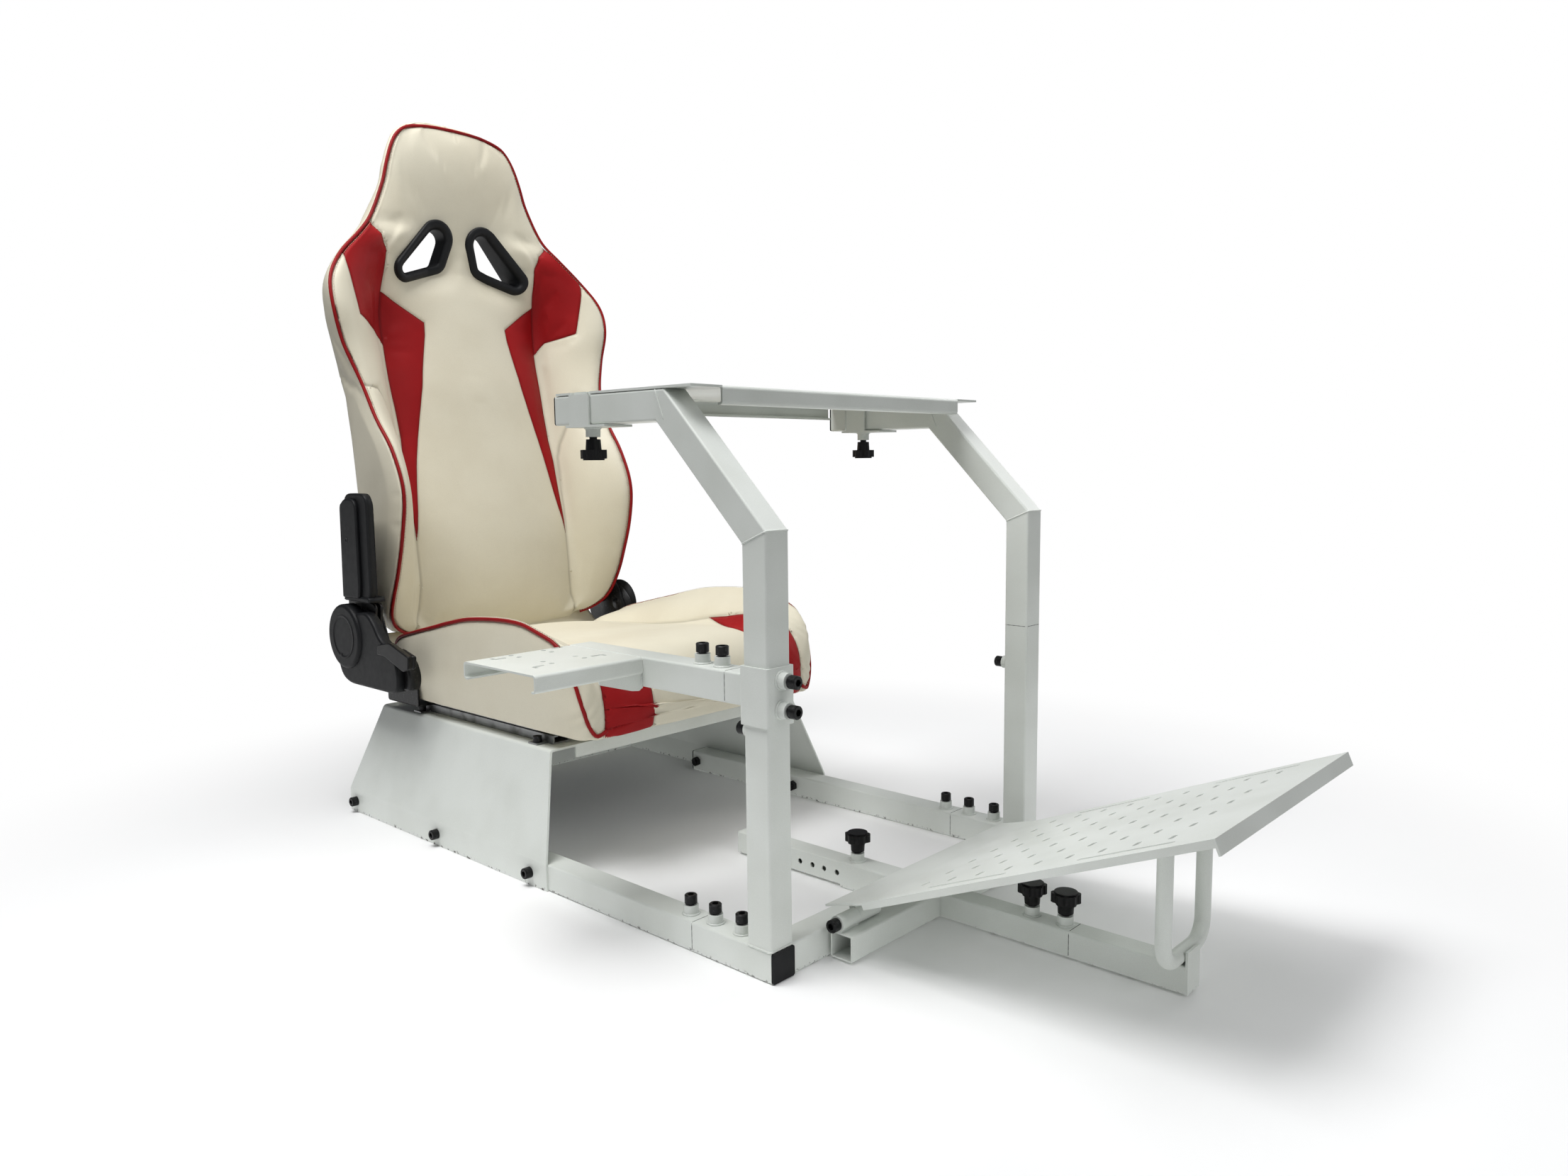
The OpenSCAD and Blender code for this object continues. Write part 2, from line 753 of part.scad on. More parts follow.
// Round bar bent to a U, welded across the extension tube
module prop_bar() {
    bend = 26;
    leg_x = bar_gap / 2;
    foot = bar_foot_z;
    color(white) {
        for (s = [-1, 1]) {
            difference() {
                translate([s * leg_x, bar_y, foot + bend])
                    cylinder(d = bar_d, h = pedal_len / 2);
                translate([0, pedal_axis_y, pedal_axis_z]) rotate([-pedal_slope, 0, 0])
                    translate([-pedal_w / 2, -pedal_len, pedal_lift - bar_rest_gap])
                        cube([pedal_w, pedal_len, pedal_len]);
            }
            translate([s * (leg_x - bend), bar_y, foot + bend]) rotate([90, 0, 0])
                rotate([0, 0, s > 0 ? -90 : 180])
                    rotate_extrude(angle = 90) translate([bend, 0]) circle(d = bar_d);
        }
        translate([-leg_x + bend, bar_y, foot]) along_x()
            cylinder(d = bar_d, h = bar_gap - 2 * bend);
    }
}

module prop_knob(y) {
    foot_z = pedal_top + boss_l + 3;
    color(black) translate([0, y, foot_z])
        star_knob(foot_z - (half + prop_inner / 2 + stud_gap));
}

module rear_prop_knob() {
    prop_knob(prop_knobs[1]);
}

module front_prop_knob() {
    prop_knob(prop_knobs[0]);
}

pedal_t = 2.5;
band_l = 58;
band_slope = 16;
pedal_rear = 10;

// Pedal plate: a folded sheet on two barrels, with slots for the pedals
module pedal_plate() {
    slot_w = 6;
    color(white) translate([0, pedal_axis_y, pedal_axis_z]) rotate([-pedal_slope, 0, 0]) {
        difference() {
            union() {
                translate([-pedal_w / 2, -pedal_len + pedal_rear, pedal_lift])
                    cube([pedal_w, pedal_len - band_l, pedal_t]);
                translate([-pedal_w / 2, pedal_rear - band_l, pedal_lift])
                    rotate([pedal_slope - band_slope, 0, 0])
                        translate([0, -0.3, 0]) cube([pedal_w, band_l + 0.3, pedal_t]);
                translate([-pedal_w / 2, -pedal_len + pedal_rear, pedal_lift - 14])
                    cube([pedal_w, pedal_t, 14.5]);
                for (s = [0, 1]) mirror([s, 0, 0])
                    translate([pedal_w / 2 - pedal_t, -pedal_len + pedal_rear, pedal_lift - 6])
                        cube([pedal_t, pedal_len - band_l, 6.5]);
            }
            for (x = [-150:50:150], y = [-430:40:-110]) translate([x, y, pedal_lift - 1])
                slot(16, slot_w, pedal_t + 2);
            for (s = [-1, 1], y = [-390, -190]) translate([s * 178, y, pedal_lift - 1])
                rotate([0, 0, 90]) slot(110, slot_w, pedal_t + 2);
        }
        for (s = [0, 1]) mirror([s, 0, 0]) pedal_hinge();
    }
}

// Slot with round ends along X, through a sheet that lies flat
module slot(len, w, h) {
    run = len - w;
    translate([-run / 2, -w / 2, 0]) cube([run, w, h]);
    for (s = [-1, 1]) translate([s * run / 2, 0, 0]) cylinder(d = w, h = h);
}

// Barrel and web under the pedal plate
module pedal_hinge() {
    translate([plate_barrel_x - plate_barrel_l, 0, 0]) difference() {
        union() {
            along_x() cylinder(d = barrel_d, h = plate_barrel_l);
            translate([0, -5, 0]) cube([plate_barrel_l, 10, pedal_lift + 0.6]);
        }
        translate([-1, 0, 0]) along_x() cylinder(d = bore_d, h = plate_barrel_l + 2);
    }
}

// Seat

runner_top = base_top + runner_h;
pan_z = cushion_z - fit - 2.5;

// Moving runners: a carriage in each channel, a neck and a long top strip
module upper_runner() {
    strip = pan_z - runner_top - 2;
    translate([runner_x, 0, 0]) {
        translate([-runner_w / 2 + 3, 590, base_top + 3]) cube([runner_w - 6, 150, runner_h - 6.5]);
        translate([-runner_slot / 2 + 0.5, 590, base_top + 6]) cube([runner_slot - 1, 150, 10]);
        translate([-runner_w / 2, 520, runner_top + 2]) cube([runner_w, 320, strip]);
    }
}

module upper_runners() {
    color(steel) both_sides() upper_runner();
}

bracket_x = recliner_x - recliner_t;
bracket_t = 3;
pivot_r = 12;
arm_in = 262;
lever_y = 812;
lever_z = 303;
lever_r = 8;

// Steel pan under the cushion, with a foot and an upright plate for each recliner
module seat_pan() {
    color(black) {
        translate([-runner_x - 19, 470, pan_z]) cube([2 * runner_x + 38, 420, 2.5]);
        both_sides() {
            translate([200, 795, pan_z]) cube([bracket_x - 200, 130, 2.5]);
            difference() {
                translate([bracket_x - bracket_t, 0, 0]) rotate([90, 0, 90])
                    linear_extrude(bracket_t) polygon([[757, 235], [775, pan_z], [955, pan_z],
                        [985, 300], [940, 350], [835, 315], [766, 289], [750, 276]]);
                translate([bracket_x - 2 * bracket_t, pivot_y, pivot_z]) along_x()
                    cylinder(r = pivot_r + pin_gap, h = 3 * bracket_t);
            }
        }
    }
}

spline_steps = 2;

// Point on a smooth curve through four points
function curve(a, b, c, d, t) =
    0.5 * (2 * b + (c - a) * t + (2 * a - 5 * b + 4 * c - d) * t * t
        + (3 * b - a - 3 * c + d) * t * t * t);

// Smooth curve through a list of points
function smooth(p, steps) = concat(
    [for (i = [0:len(p) - 2], k = [0:steps - 1])
        curve(p[max(i - 1, 0)], p[i], p[i + 1], p[min(i + 2, len(p) - 1)], k / steps)],
    [p[len(p) - 1]]);

// Half outline turned into a closed ring by mirroring its X
function whole(h) = concat(h, [for (i = [len(h) - 2:-1:1]) [-h[i][0], h[i][1], h[i][2]]]);

// Middle of a ring of points
function middle(r) = [for (k = [0:2]) [for (p = r) p[k]] * [for (p = r) 1] / len(r)];

// Solid through a list of rings with equal counts of points, closed by a fan at each end
module skin(rings) {
    n = len(rings[0]);
    last = len(rings) - 1;
    foot = (last + 1) * n;
    polyhedron(
        points = concat([for (r = rings, p = r) p], [middle(rings[0]), middle(rings[last])]),
        faces = [for (k = [-1:last], i = [0:n - 1]) let (j = (i + 1) % n)
            each k < 0 ? [[foot, i, j]]
                : k == last ? [[foot + 1, last * n + j, last * n + i]]
                : [[k * n + i, (k + 1) * n + i, (k + 1) * n + j],
                    [k * n + i, (k + 1) * n + j, k * n + j]]]);
}

// Cushion stations: place along Y, share of the half-width, top at the middle,
// rise of the bolsters, and the underside above the cushion's lowest level
cushion_stations = [
    [381, 0.82, 248, 4, 14], [385, 0.88, 268, 8, -1], [394, 0.93, 287, 14, -3],
    [410, 0.96, 303, 22, -3], [430, 0.98, 314, 27, -1], [448, 0.99, 319, 31, 0],
    [482, 1.00, 322, 39, 1], [524, 1.00, 321, 49, 1], [584, 1.00, 317, 54, 1],
    [663, 1.00, 308, 57, 1], [720, 1.00, 304, 50, 1], [766, 1.00, 302, 41, 1],
    [830, 0.99, 300, 28, 1], [892, 0.97, 295, 17, 4], [922, 0.94, 286, 8, 10],
    [937, 0.88, 266, 1, 24]
];

function cushion_ring(s) =
    let (y = s[0], w = s[1] * cushion_x, top = s[2], rise = s[3], low = cushion_z + s[4],
        mid = (top + low) / 2)
    whole(smooth([
        [0, y, top + 3], [0.34 * w, y, top + 2], [0.62 * w, y, top - 4],
        [0.76 * w, y, top + 0.52 * rise], [0.90 * w, y, top + 1.02 * rise],
        [w - 4, y, top + 0.92 * rise], [w, y, mid + 8], [w - 4, y, low + 14],
        [w - 16, y, low], [0.5 * w, y, low], [0, y, low]
    ], spline_steps));

// Cushion with raised bolsters, as a plain solid
module seat_cushion() {
    color(cream) skin([for (s = smooth(cushion_stations, 2)) cushion_ring(s)]);
}

// Backrest stations: height, half-width, then places along Y: front at the middle,
// valley beside the bolster, crest of the bolster, back
back_stations = [
    [298, 188, 972, 975, 976, 1004], [306, 212, 962, 970, 962, 1018],
    [322, 234, 956, 969, 946, 1030], [345, 248, 952, 966, 932, 1036],
    [385, 252, 949, 963, 911, 1041], [420, 252, 950, 965, 896, 1044],
    [488, 253, 960, 974, 874, 1048], [558, 252, 977, 992, 867, 1054],
    [626, 252, 992, 1008, 896, 1068], [682, 254, 1002, 1022, 938, 1086],
    [742, 258, 1011, 1038, 966, 1104], [809, 276, 1026, 1054, 981, 1120],
    [870, 290, 1038, 1062, 983, 1136], [920, 287, 1049, 1056, 996, 1148],
    [967, 257, 1059, 1042, 1016, 1156], [1010, 214, 1062, 1036, 1030, 1160],
    [1045, 184, 1057, 1048, 1045, 1158], [1105, 156, 1049, 1051, 1052, 1153],
    [1140, 146, 1047, 1051, 1054, 1148], [1175, 134, 1048, 1052, 1056, 1138],
    [1203, 119, 1052, 1056, 1060, 1128], [1218, 102, 1057, 1061, 1066, 1118],
    [1228, 82, 1064, 1068, 1072, 1110], [1234, 58, 1078, 1080, 1082, 1098]
];
valley_x = 163;

function back_ring(s) =
    let (z = s[0], w = s[1], y = s[2], low = s[3], high = s[4], rear = s[5],
        x0 = min(valley_x, 0.66 * w), x1 = w - 8)
    whole(smooth([
        [0, y, z], [0.6 * x0, y + 0.36 * (low - y), z], [0.93 * x0, low - 1, z],
        [x0 + 0.12 * (x1 - x0), low - 0.06 * (low - high), z],
        [x0 + 0.44 * (x1 - x0), low - 0.56 * (low - high), z],
        [x0 + 0.8 * (x1 - x0), low - 0.95 * (low - high), z], [x1, high, z],
        [w, high + 16, z], [w, high + 0.55 * (rear - high), z], [0.92 * w, rear - 14, z],
        [0.6 * w, rear, z], [0, rear, z]
    ], spline_steps));

harness_y = 1030;
ring_depth = 130;
harness_corners = [[118, 958, 7], [48, 1021, 17], [52, 984, 10]];
harness_wall = 12;
ring_lean = 10.7;

// Outline of a harness hole, widened by a margin
module harness_outline(margin) {
    hull() for (c = harness_corners) translate([c[0], c[1]]) circle(r = c[2] + margin, $fn = 32);
}

// A prism along Y over both harness holes
module harness_prism(margin, y0, len) {
    for (s = [0, 1]) mirror([s, 0, 0]) translate([0, y0 + len, 0]) rotate([90, 0, 0])
        linear_extrude(len) harness_outline(margin);
}

arm_screws = [[925, 480], [928, 400]];

// Backrest with side bolsters and two harness holes, as a plain solid
module backrest() {
    color(cream) difference() {
        skin([for (s = smooth(back_stations, 2)) back_ring(s)]);
        harness_prism(harness_wall + fit, harness_y - 30, 190);
        for (s = [-1, 1], p = arm_screws) translate([s * 280, p[0], p[1]]) along_x()
            cylinder(r = 8.3, h = 90, center = true);
    }
}

// Black plastic liners of the harness holes
module harness_rings() {
    color(black) difference() {
        harness_prism(harness_wall, harness_y + 10, ring_depth - 10);
        harness_prism(0, harness_y, ring_depth + 10);
        translate([0, harness_y + 44, 950]) rotate([ring_lean, 0, 0])
            translate([-200, -100, -100]) cube([400, 100, 300]);
    }
}

// Plastic covers of the recliners' lower halves
module recliner_base() {
    cover = [
        [888, 364], [847, 360], [838, 338], [790, 322], [772, 300], [768, 240],
        [790, 229], [949, 226], [962, 250]
    ];
    translate([bracket_x, 0, 0]) {
        difference() {
            rotate([90, 0, 90]) linear_extrude(recliner_t - 4)
                polygon(rounded(cover, [8, 14, 10, 12, 12, 16, 14, 16, 12]));
            translate([recliner_t - 14, lever_y, lever_z]) along_x()
                cylinder(r = lever_r + pin_gap, h = recliner_t);
        }
        translate([0, pivot_y, pivot_z]) along_x() cylinder(r = 57, h = recliner_t - 1.5);
        translate([recliner_t - 2, pivot_y, pivot_z]) along_x() difference() {
            cylinder(r = 55, h = 2);
            translate([0, 0, 1]) cylinder(r = 40, h = 2);
            translate([28, 30, -1]) cylinder(d = 6, h = 5);
        }
    }
}

module recliner_bases() {
    color(black) both_sides() recliner_base();
}

// Plastic-covered arm that carries the backrest, on a stub through the upright plate
module recliner_arm() {
    wide = bracket_x - bracket_t - 1 - arm_in;
    translate([arm_in, 0, 0]) {
        rotate([90, 0, 90]) linear_extrude(wide) polygon(rounded([
            [905, 300], [866, 376], [863, 556], [932, 556], [944, 376], [975, 320]],
            [0, 20, 16, 14, 30, 0]));
        translate([wide - 0.5, 0, 0]) difference() {
            rotate([90, 0, 90]) linear_extrude(7.5) polygon(rounded([
                [892, 386], [890, 547], [938, 543], [942, 386]], [3, 14, 12, 3]));
            translate([5, 919, 478]) along_x() cylinder(d = 8, h = 5);
        }
        translate([0, pivot_y, pivot_z]) along_x() cylinder(r = 40, h = wide);
        translate([wide - 1, pivot_y, pivot_z]) along_x()
            cylinder(r = pivot_r, h = bracket_t + 1.7);
    }
    for (p = arm_screws) translate([240, p[0], p[1]]) along_x() cylinder(r = 8, h = 30);
}

module recliner_arms() {
    color(black) both_sides() recliner_arm();
}

// Recline lever with a slim paddle
module lever() {
    translate([bracket_x + recliner_t - 13.5, lever_y, lever_z]) along_x()
        cylinder(r = lever_r, h = 14);
    translate([bracket_x + recliner_t - 3.5, 0, 0]) rotate([90, 0, 90]) linear_extrude(7)
        polygon([[820, 296], [818, 312], [780, 316], [728, 300], [726, 284], [742, 280],
            [800, 296]]);
}

module right_lever() {
    color(black) mirror([1, 0, 0]) lever();
}

module left_lever() {
    color(black) lever();
}

right_foot();
left_foot();
right_post();
left_post();
front_cross_tube();
pedal_sleeve();
right_rail();
left_rail();
right_side_plate();
left_side_plate();
seat_beams();
rear_floor_tube();
lower_runners();
frame_plugs();
frame_screws();
shifter_sleeve();
right_wheel_arm();
left_wheel_arm();
arm_plugs();
wheel_plate();
deck_clamps();
right_clamp_knob();
left_clamp_knob();
shifter_arm();
shifter_plate();
shifter_screws();
pedal_tongue();
pedal_cross_tube();
pedal_pivot_screws();
pedal_sleeve_knob();
pedal_prop();
prop_bar();
rear_prop_knob();
front_prop_knob();
pedal_plate();
upper_runners();
seat_pan();
seat_cushion();
recliner_bases();
right_lever();
left_lever();
backrest();
harness_rings();
recliner_arms();
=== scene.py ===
"""Dresses the sim racing cockpit: upholstery, finishes, weld beads, studio and camera.

Everything is in metres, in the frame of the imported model: X runs across, Y runs back
from the pedals to the seat, Z is up. The driver's right is at negative X.
"""

from __future__ import annotations

import logging
import math
from collections.abc import Callable
from dataclasses import dataclass, field
from enum import Enum

import bpy
import numpy as np
from mathutils import Matrix, Vector


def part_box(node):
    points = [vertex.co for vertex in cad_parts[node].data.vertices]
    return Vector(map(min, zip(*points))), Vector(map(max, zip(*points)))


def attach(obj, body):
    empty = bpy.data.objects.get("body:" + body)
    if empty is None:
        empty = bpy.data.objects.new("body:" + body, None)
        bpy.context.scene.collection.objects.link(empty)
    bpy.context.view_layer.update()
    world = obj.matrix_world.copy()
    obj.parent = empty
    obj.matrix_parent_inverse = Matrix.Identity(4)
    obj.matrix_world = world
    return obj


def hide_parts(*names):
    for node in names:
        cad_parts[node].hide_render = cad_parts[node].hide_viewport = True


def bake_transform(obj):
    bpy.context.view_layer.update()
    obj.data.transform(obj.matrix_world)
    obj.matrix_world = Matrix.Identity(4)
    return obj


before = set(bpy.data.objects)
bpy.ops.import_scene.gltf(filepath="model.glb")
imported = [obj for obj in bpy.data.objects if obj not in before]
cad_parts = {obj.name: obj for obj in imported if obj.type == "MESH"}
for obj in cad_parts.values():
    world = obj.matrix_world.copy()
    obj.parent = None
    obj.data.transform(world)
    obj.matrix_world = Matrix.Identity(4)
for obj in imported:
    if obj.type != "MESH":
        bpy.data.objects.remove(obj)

log = logging.getLogger("cockpit")

MM = 0.001

# A point's facts are its X, Y and Z, then its outline's number and the way round to it.
CONTROL, ARC = 3, 4

# Sizes of the shrinking rings that close a stuffed form at each end.
CAP_SHARES = (0.9, 0.7, 0.45, 0.2, 0.04)
CAP_RINGS = len(CAP_SHARES)


class Side(Enum):
    """Driver's side of the cockpit, as the sign of its X."""

    RIGHT = -1
    LEFT = 1


def linear(red: int, green: int, blue: int) -> tuple[float, float, float, float]:
    """Turns a display colour into a linear one.

    Args:
        red: Red from 0 to 255.
        green: Green from 0 to 255.
        blue: Blue from 0 to 255.

    Returns:
        The linear colour with an alpha of one.
    """
    shares = [c / 255 for c in (red, green, blue)]
    mixed = [s / 12.92 if s <= 0.04045 else ((s + 0.055) / 1.055) ** 2.4 for s in shares]
    return (mixed[0], mixed[1], mixed[2], 1.0)


class NodeBoard:
    """Small helper that lays out the nodes of one material, or of the world."""

    def __init__(self, name: str, world: bool = False) -> None:
        """Starts an empty material or world with that name."""
        self.owner = (bpy.data.worlds if world else bpy.data.materials).new(name)
        self.owner.use_nodes = True
        self.tree = self.owner.node_tree
        self.tree.nodes.clear()
        self.output = self.node("OutputWorld" if world else "OutputMaterial")

    def node(self, kind: str, **settings: object) -> bpy.types.Node:
        """Adds a node and sets its properties and inputs.

        Args:
            kind: Node type without its ShaderNode prefix.
            **settings: Properties of the node, or inputs by name with _ for spaces.

        Returns:
            The new node.
        """
        made = self.tree.nodes.new("ShaderNode" + kind)
        for key, value in settings.items():
            label = key.replace("_", " ")
            if hasattr(made, key):
                setattr(made, key, value)
            elif label in made.inputs:
                self.feed(made.inputs[label], value)
            else:
                raise KeyError(f"{kind} has no {key}")
        return made

    def feed(self, socket: bpy.types.NodeSocket, value: object) -> None:
        """Links a socket to an output, or sets its value."""
        if isinstance(value, bpy.types.NodeSocket):
            self.tree.links.new(value, socket)
        else:
            socket.default_value = value

    def math(self, operation: str, first: object, second: object = 0.0) -> bpy.types.NodeSocket:
        """Adds a math node and returns its value."""
        made = self.node("Math", operation=operation)
        self.feed(made.inputs[0], first)
        self.feed(made.inputs[1], second)
        return made.outputs[0]

    def plus(self, base: object, value: object, share: float) -> bpy.types.NodeSocket:
        """Adds a share of a value to a base."""
        return self.math("ADD", base, self.math("MULTIPLY", value, share))

    def ramp(self, value: object, low: float, high: float) -> bpy.types.NodeSocket:
        """Turns a value into 0 below low and 1 above high, smooth between."""
        made = self.node("MapRange", interpolation_type="SMOOTHSTEP")
        self.feed(made.inputs["Value"], value)
        made.inputs["From Min"].default_value = low
        made.inputs["From Max"].default_value = high
        return made.outputs["Result"]

    def mix(self, share: object, first: object, second: object) -> bpy.types.NodeSocket:
        """Mixes two colours and returns the result."""
        made = self.node("Mix", data_type="RGBA")
        self.feed(made.inputs["Factor"], share)
        self.feed(made.inputs[6], first)
        self.feed(made.inputs[7], second)
        return made.outputs[2]

    def place(self) -> bpy.types.NodeSocket:
        """Object coordinates, in metres in the cockpit's frame."""
        return self.node("TexCoord").outputs["Object"]

    def noise(self, scale: float, detail: float = 3.0, rough: float = 0.5) -> bpy.types.NodeSocket:
        """Fractal noise over the object's place."""
        made = self.node("TexNoise", Scale=scale, Detail=detail, Roughness=rough)
        self.feed(made.inputs["Vector"], self.place())
        return made.outputs["Fac"]

    def bump(self, height: object, strength: float, distance: float) -> bpy.types.NodeSocket:
        """Bumped normal from a height."""
        made = self.node("Bump", Strength=strength, Distance=distance)
        self.feed(made.inputs["Height"], height)
        return made.outputs["Normal"]

    def close(self, **inputs: object) -> bpy.types.Material:
        """Ends the material with a principled shader.

        Args:
            **inputs: Values or outputs for the shader's sockets, with _ for spaces.

        Returns:
            The finished material.
        """
        shader = self.node("BsdfPrincipled")
        for key, value in inputs.items():
            self.feed(shader.inputs[key.replace("_", " ")], value)
        self.feed(self.output.inputs["Surface"], shader.outputs[0])
        return self.owner

    def close_mixed(self, share: object, first: bpy.types.NodeSocket,
            second: bpy.types.NodeSocket) -> bpy.types.Material | bpy.types.World:
        """Ends the material or world with a mix of two shaders."""
        mixed = self.node("MixShader")
        for socket, value in zip(mixed.inputs, (share, first, second)):
            self.feed(socket, value)
        self.feed(self.output.inputs["Surface"], mixed.outputs[0])
        return self.owner


@dataclass(frozen=True)
class PowderCoat:
    """Satin white-grey powder coat with a fine speckle and chips near the floor."""

    name: str = "powder_coat"
    base: tuple[int, int, int] = (222, 226, 221)
    shade: tuple[int, int, int] = (213, 217, 211)
    chip: tuple[int, int, int] = (74, 68, 62)
    roughness: float = 0.33

    def material(self) -> bpy.types.Material:
        """Builds the powder coat's material."""
        board = NodeBoard(self.name)
        broad = board.ramp(board.noise(9.0, 2.0), 0.35, 0.7)
        tint = board.mix(broad, linear(*self.base), linear(*self.shade))
        grains = board.noise(1900.0, 1.0)
        speck = board.ramp(grains, 0.56, 0.7)
        tint = board.mix(board.math("MULTIPLY", speck, 0.16), tint, linear(150, 154, 152))
        glint = board.ramp(board.noise(2600.0, 0.0), 0.66, 0.74)
        tint = board.mix(board.math("MULTIPLY", glint, 0.35), tint, linear(246, 248, 246))
        height = board.node("SeparateXYZ")
        board.feed(height.inputs[0], board.place())
        low = board.math("SUBTRACT", 1.0, board.ramp(height.outputs["Z"], 0.0005, 0.006))
        flecks = board.math("MULTIPLY", low, board.ramp(board.noise(150.0, 5.0, 0.65), 0.56, 0.6))
        stray = board.ramp(board.noise(60.0, 6.0, 0.7), 0.765, 0.775)
        near = board.math("SUBTRACT", 1.0, board.ramp(height.outputs["Z"], 0.03, 0.12))
        chips = board.math("MAXIMUM", flecks, board.math("MULTIPLY", stray, near))
        tint = board.mix(chips, tint, linear(*self.chip))
        rough = board.plus(self.roughness, board.noise(420.0), 0.14)
        rough = board.plus(rough, chips, 0.35)
        peel = board.plus(board.noise(700.0, 2.0), chips, -1.6)
        normal = board.bump(peel, 0.10, 0.0006)
        return board.close(Base_Color=tint, Roughness=rough, Normal=normal, Coat_Weight=0.12,
            Coat_Roughness=0.22, IOR=1.5)


@dataclass(frozen=True)
class Leather:
    """Soft synthetic leather with a fine pebbled grain, darkened along its seams by painted shade
    and some dirt.
    """

    name: str
    base: tuple[int, int, int]
    worn: tuple[int, int, int]
    crease: tuple[int, int, int]
    roughness: float = 0.46
    grain: float = 0.18
    sheen: float = 0.05
    gloss: float = 0.4

    def material(self) -> bpy.types.Material:
        """Builds the leather's material."""
        board = NodeBoard(self.name)
        cloud = board.ramp(board.noise(6.0, 4.0), 0.38, 0.68)
        tint = board.mix(cloud, linear(*self.base), linear(*self.worn))
        pebble = board.node("TexVoronoi", feature="DISTANCE_TO_EDGE", Scale=820.0, Randomness=0.95)
        board.feed(pebble.inputs["Vector"], board.place())
        pores = board.ramp(pebble.outputs["Distance"], 0.0, 0.22)
        tint = board.mix(board.math("MULTIPLY", board.math("SUBTRACT", 1.0, pores), 0.10), tint,
            linear(*self.crease))
        # Near each seam groove the colour turns towards the crease colour: painted shade in the
        # grooves, with some dirt.
        fold = board.node("Attribute", attribute_name="seam", attribute_type="GEOMETRY")
        seam_dirt_and_shade = board.math("MULTIPLY", fold.outputs["Fac"], 0.55)
        tint = board.mix(seam_dirt_and_shade, tint, linear(*self.crease))
        rough = board.plus(self.roughness, board.noise(38.0), 0.12)
        rough = board.plus(rough, pores, -0.06)
        height = board.plus(board.math("MULTIPLY", pores, 0.6), board.noise(240.0, 4.0), 0.9)
        fine = board.bump(height, self.grain, 0.0005)
        return board.close(Base_Color=tint, Roughness=rough, Normal=fine, Sheen_Weight=self.sheen,
            Sheen_Roughness=0.5, IOR=1.46, Specular_IOR_Level=self.gloss)


@dataclass(frozen=True)
class MouldedPlastic:
    """Moulded black plastic with a fine leathery texture."""

    name: str = "black_plastic"
    base: tuple[int, int, int] = (17, 18, 20)
    light: tuple[int, int, int] = (23, 24, 26)
    roughness: float = 0.42
    texture: float = 0.22

    def material(self) -> bpy.types.Material:
        """Builds the plastic's material."""
        board = NodeBoard(self.name)
        tint = board.mix(board.ramp(board.noise(14.0, 3.0), 0.3, 0.7), linear(*self.base),
            linear(*self.light))
        cells = board.node("TexVoronoi", feature="SMOOTH_F1", Scale=1100.0, Smoothness=0.6)
        board.feed(cells.inputs["Vector"], board.place())
        rough = board.plus(self.roughness, board.noise(90.0), 0.14)
        normal = board.bump(cells.outputs["Distance"], self.texture, 0.0005)
        return board.close(Base_Color=tint, Roughness=rough, Normal=normal, IOR=1.5,
            Specular_IOR_Level=0.2)


@dataclass(frozen=True)
class DarkSteel:
    """Black oxide steel of the socket screws."""

    name: str = "black_steel"
    base: tuple[int, int, int] = (24, 24, 25)
    edge: tuple[int, int, int] = (58, 58, 60)

    def material(self) -> bpy.types.Material:
        """Builds the dark steel's material."""
        board = NodeBoard(self.name)
        worn = board.ramp(board.noise(260.0, 5.0), 0.56, 0.72)
        tint = board.mix(worn, linear(*self.base), linear(*self.edge))
        rough = board.plus(0.3, board.noise(500.0), 0.2)
        normal = board.bump(board.noise(1500.0, 1.0), 0.12, 0.0004)
        return board.close(Base_Color=tint, Metallic=0.55, Roughness=rough, Normal=normal)


@dataclass(frozen=True)
class ZincSteel:
    """Zinc plated steel of the seat runners."""

    name: str = "runner_steel"
    base: tuple[int, int, int] = (150, 151, 152)
    dull: tuple[int, int, int] = (104, 104, 102)

    def material(self) -> bpy.types.Material:
        """Builds the zinc's material, drawn along the runners."""
        board = NodeBoard(self.name)
        stretch = board.node("Mapping")
        board.feed(stretch.inputs["Vector"], board.place())
        stretch.inputs["Scale"].default_value = (900.0, 12.0, 900.0)
        lines = board.node("TexNoise", Scale=1.0, Detail=3.0)
        board.feed(lines.inputs["Vector"], stretch.outputs[0])
        blotch = board.ramp(board.noise(45.0, 4.0), 0.4, 0.75)
        tint = board.mix(blotch, linear(*self.base), linear(*self.dull))
        rough = board.plus(0.28, lines.outputs["Fac"], 0.25)
        normal = board.bump(lines.outputs["Fac"], 0.15, 0.0004)
        return board.close(Base_Color=tint, Metallic=0.9, Roughness=rough, Normal=normal)


@dataclass(frozen=True)
class Thread:
    """Twisted sewing thread."""

    name: str
    base: tuple[int, int, int]
    dark: tuple[int, int, int]

    def material(self) -> bpy.types.Material:
        """Builds the thread's material with its twist."""
        board = NodeBoard(self.name)
        twist = board.node("TexWave", Scale=900.0, Distortion=1.0)
        board.feed(twist.inputs["Vector"], board.place())
        tint = board.mix(twist.outputs["Fac"], linear(*self.base), linear(*self.dark))
        normal = board.bump(twist.outputs["Fac"], 0.3, 0.0004)
        rough = board.plus(0.6, board.noise(500.0), 0.2)
        return board.close(Base_Color=tint, Roughness=rough, Normal=normal)


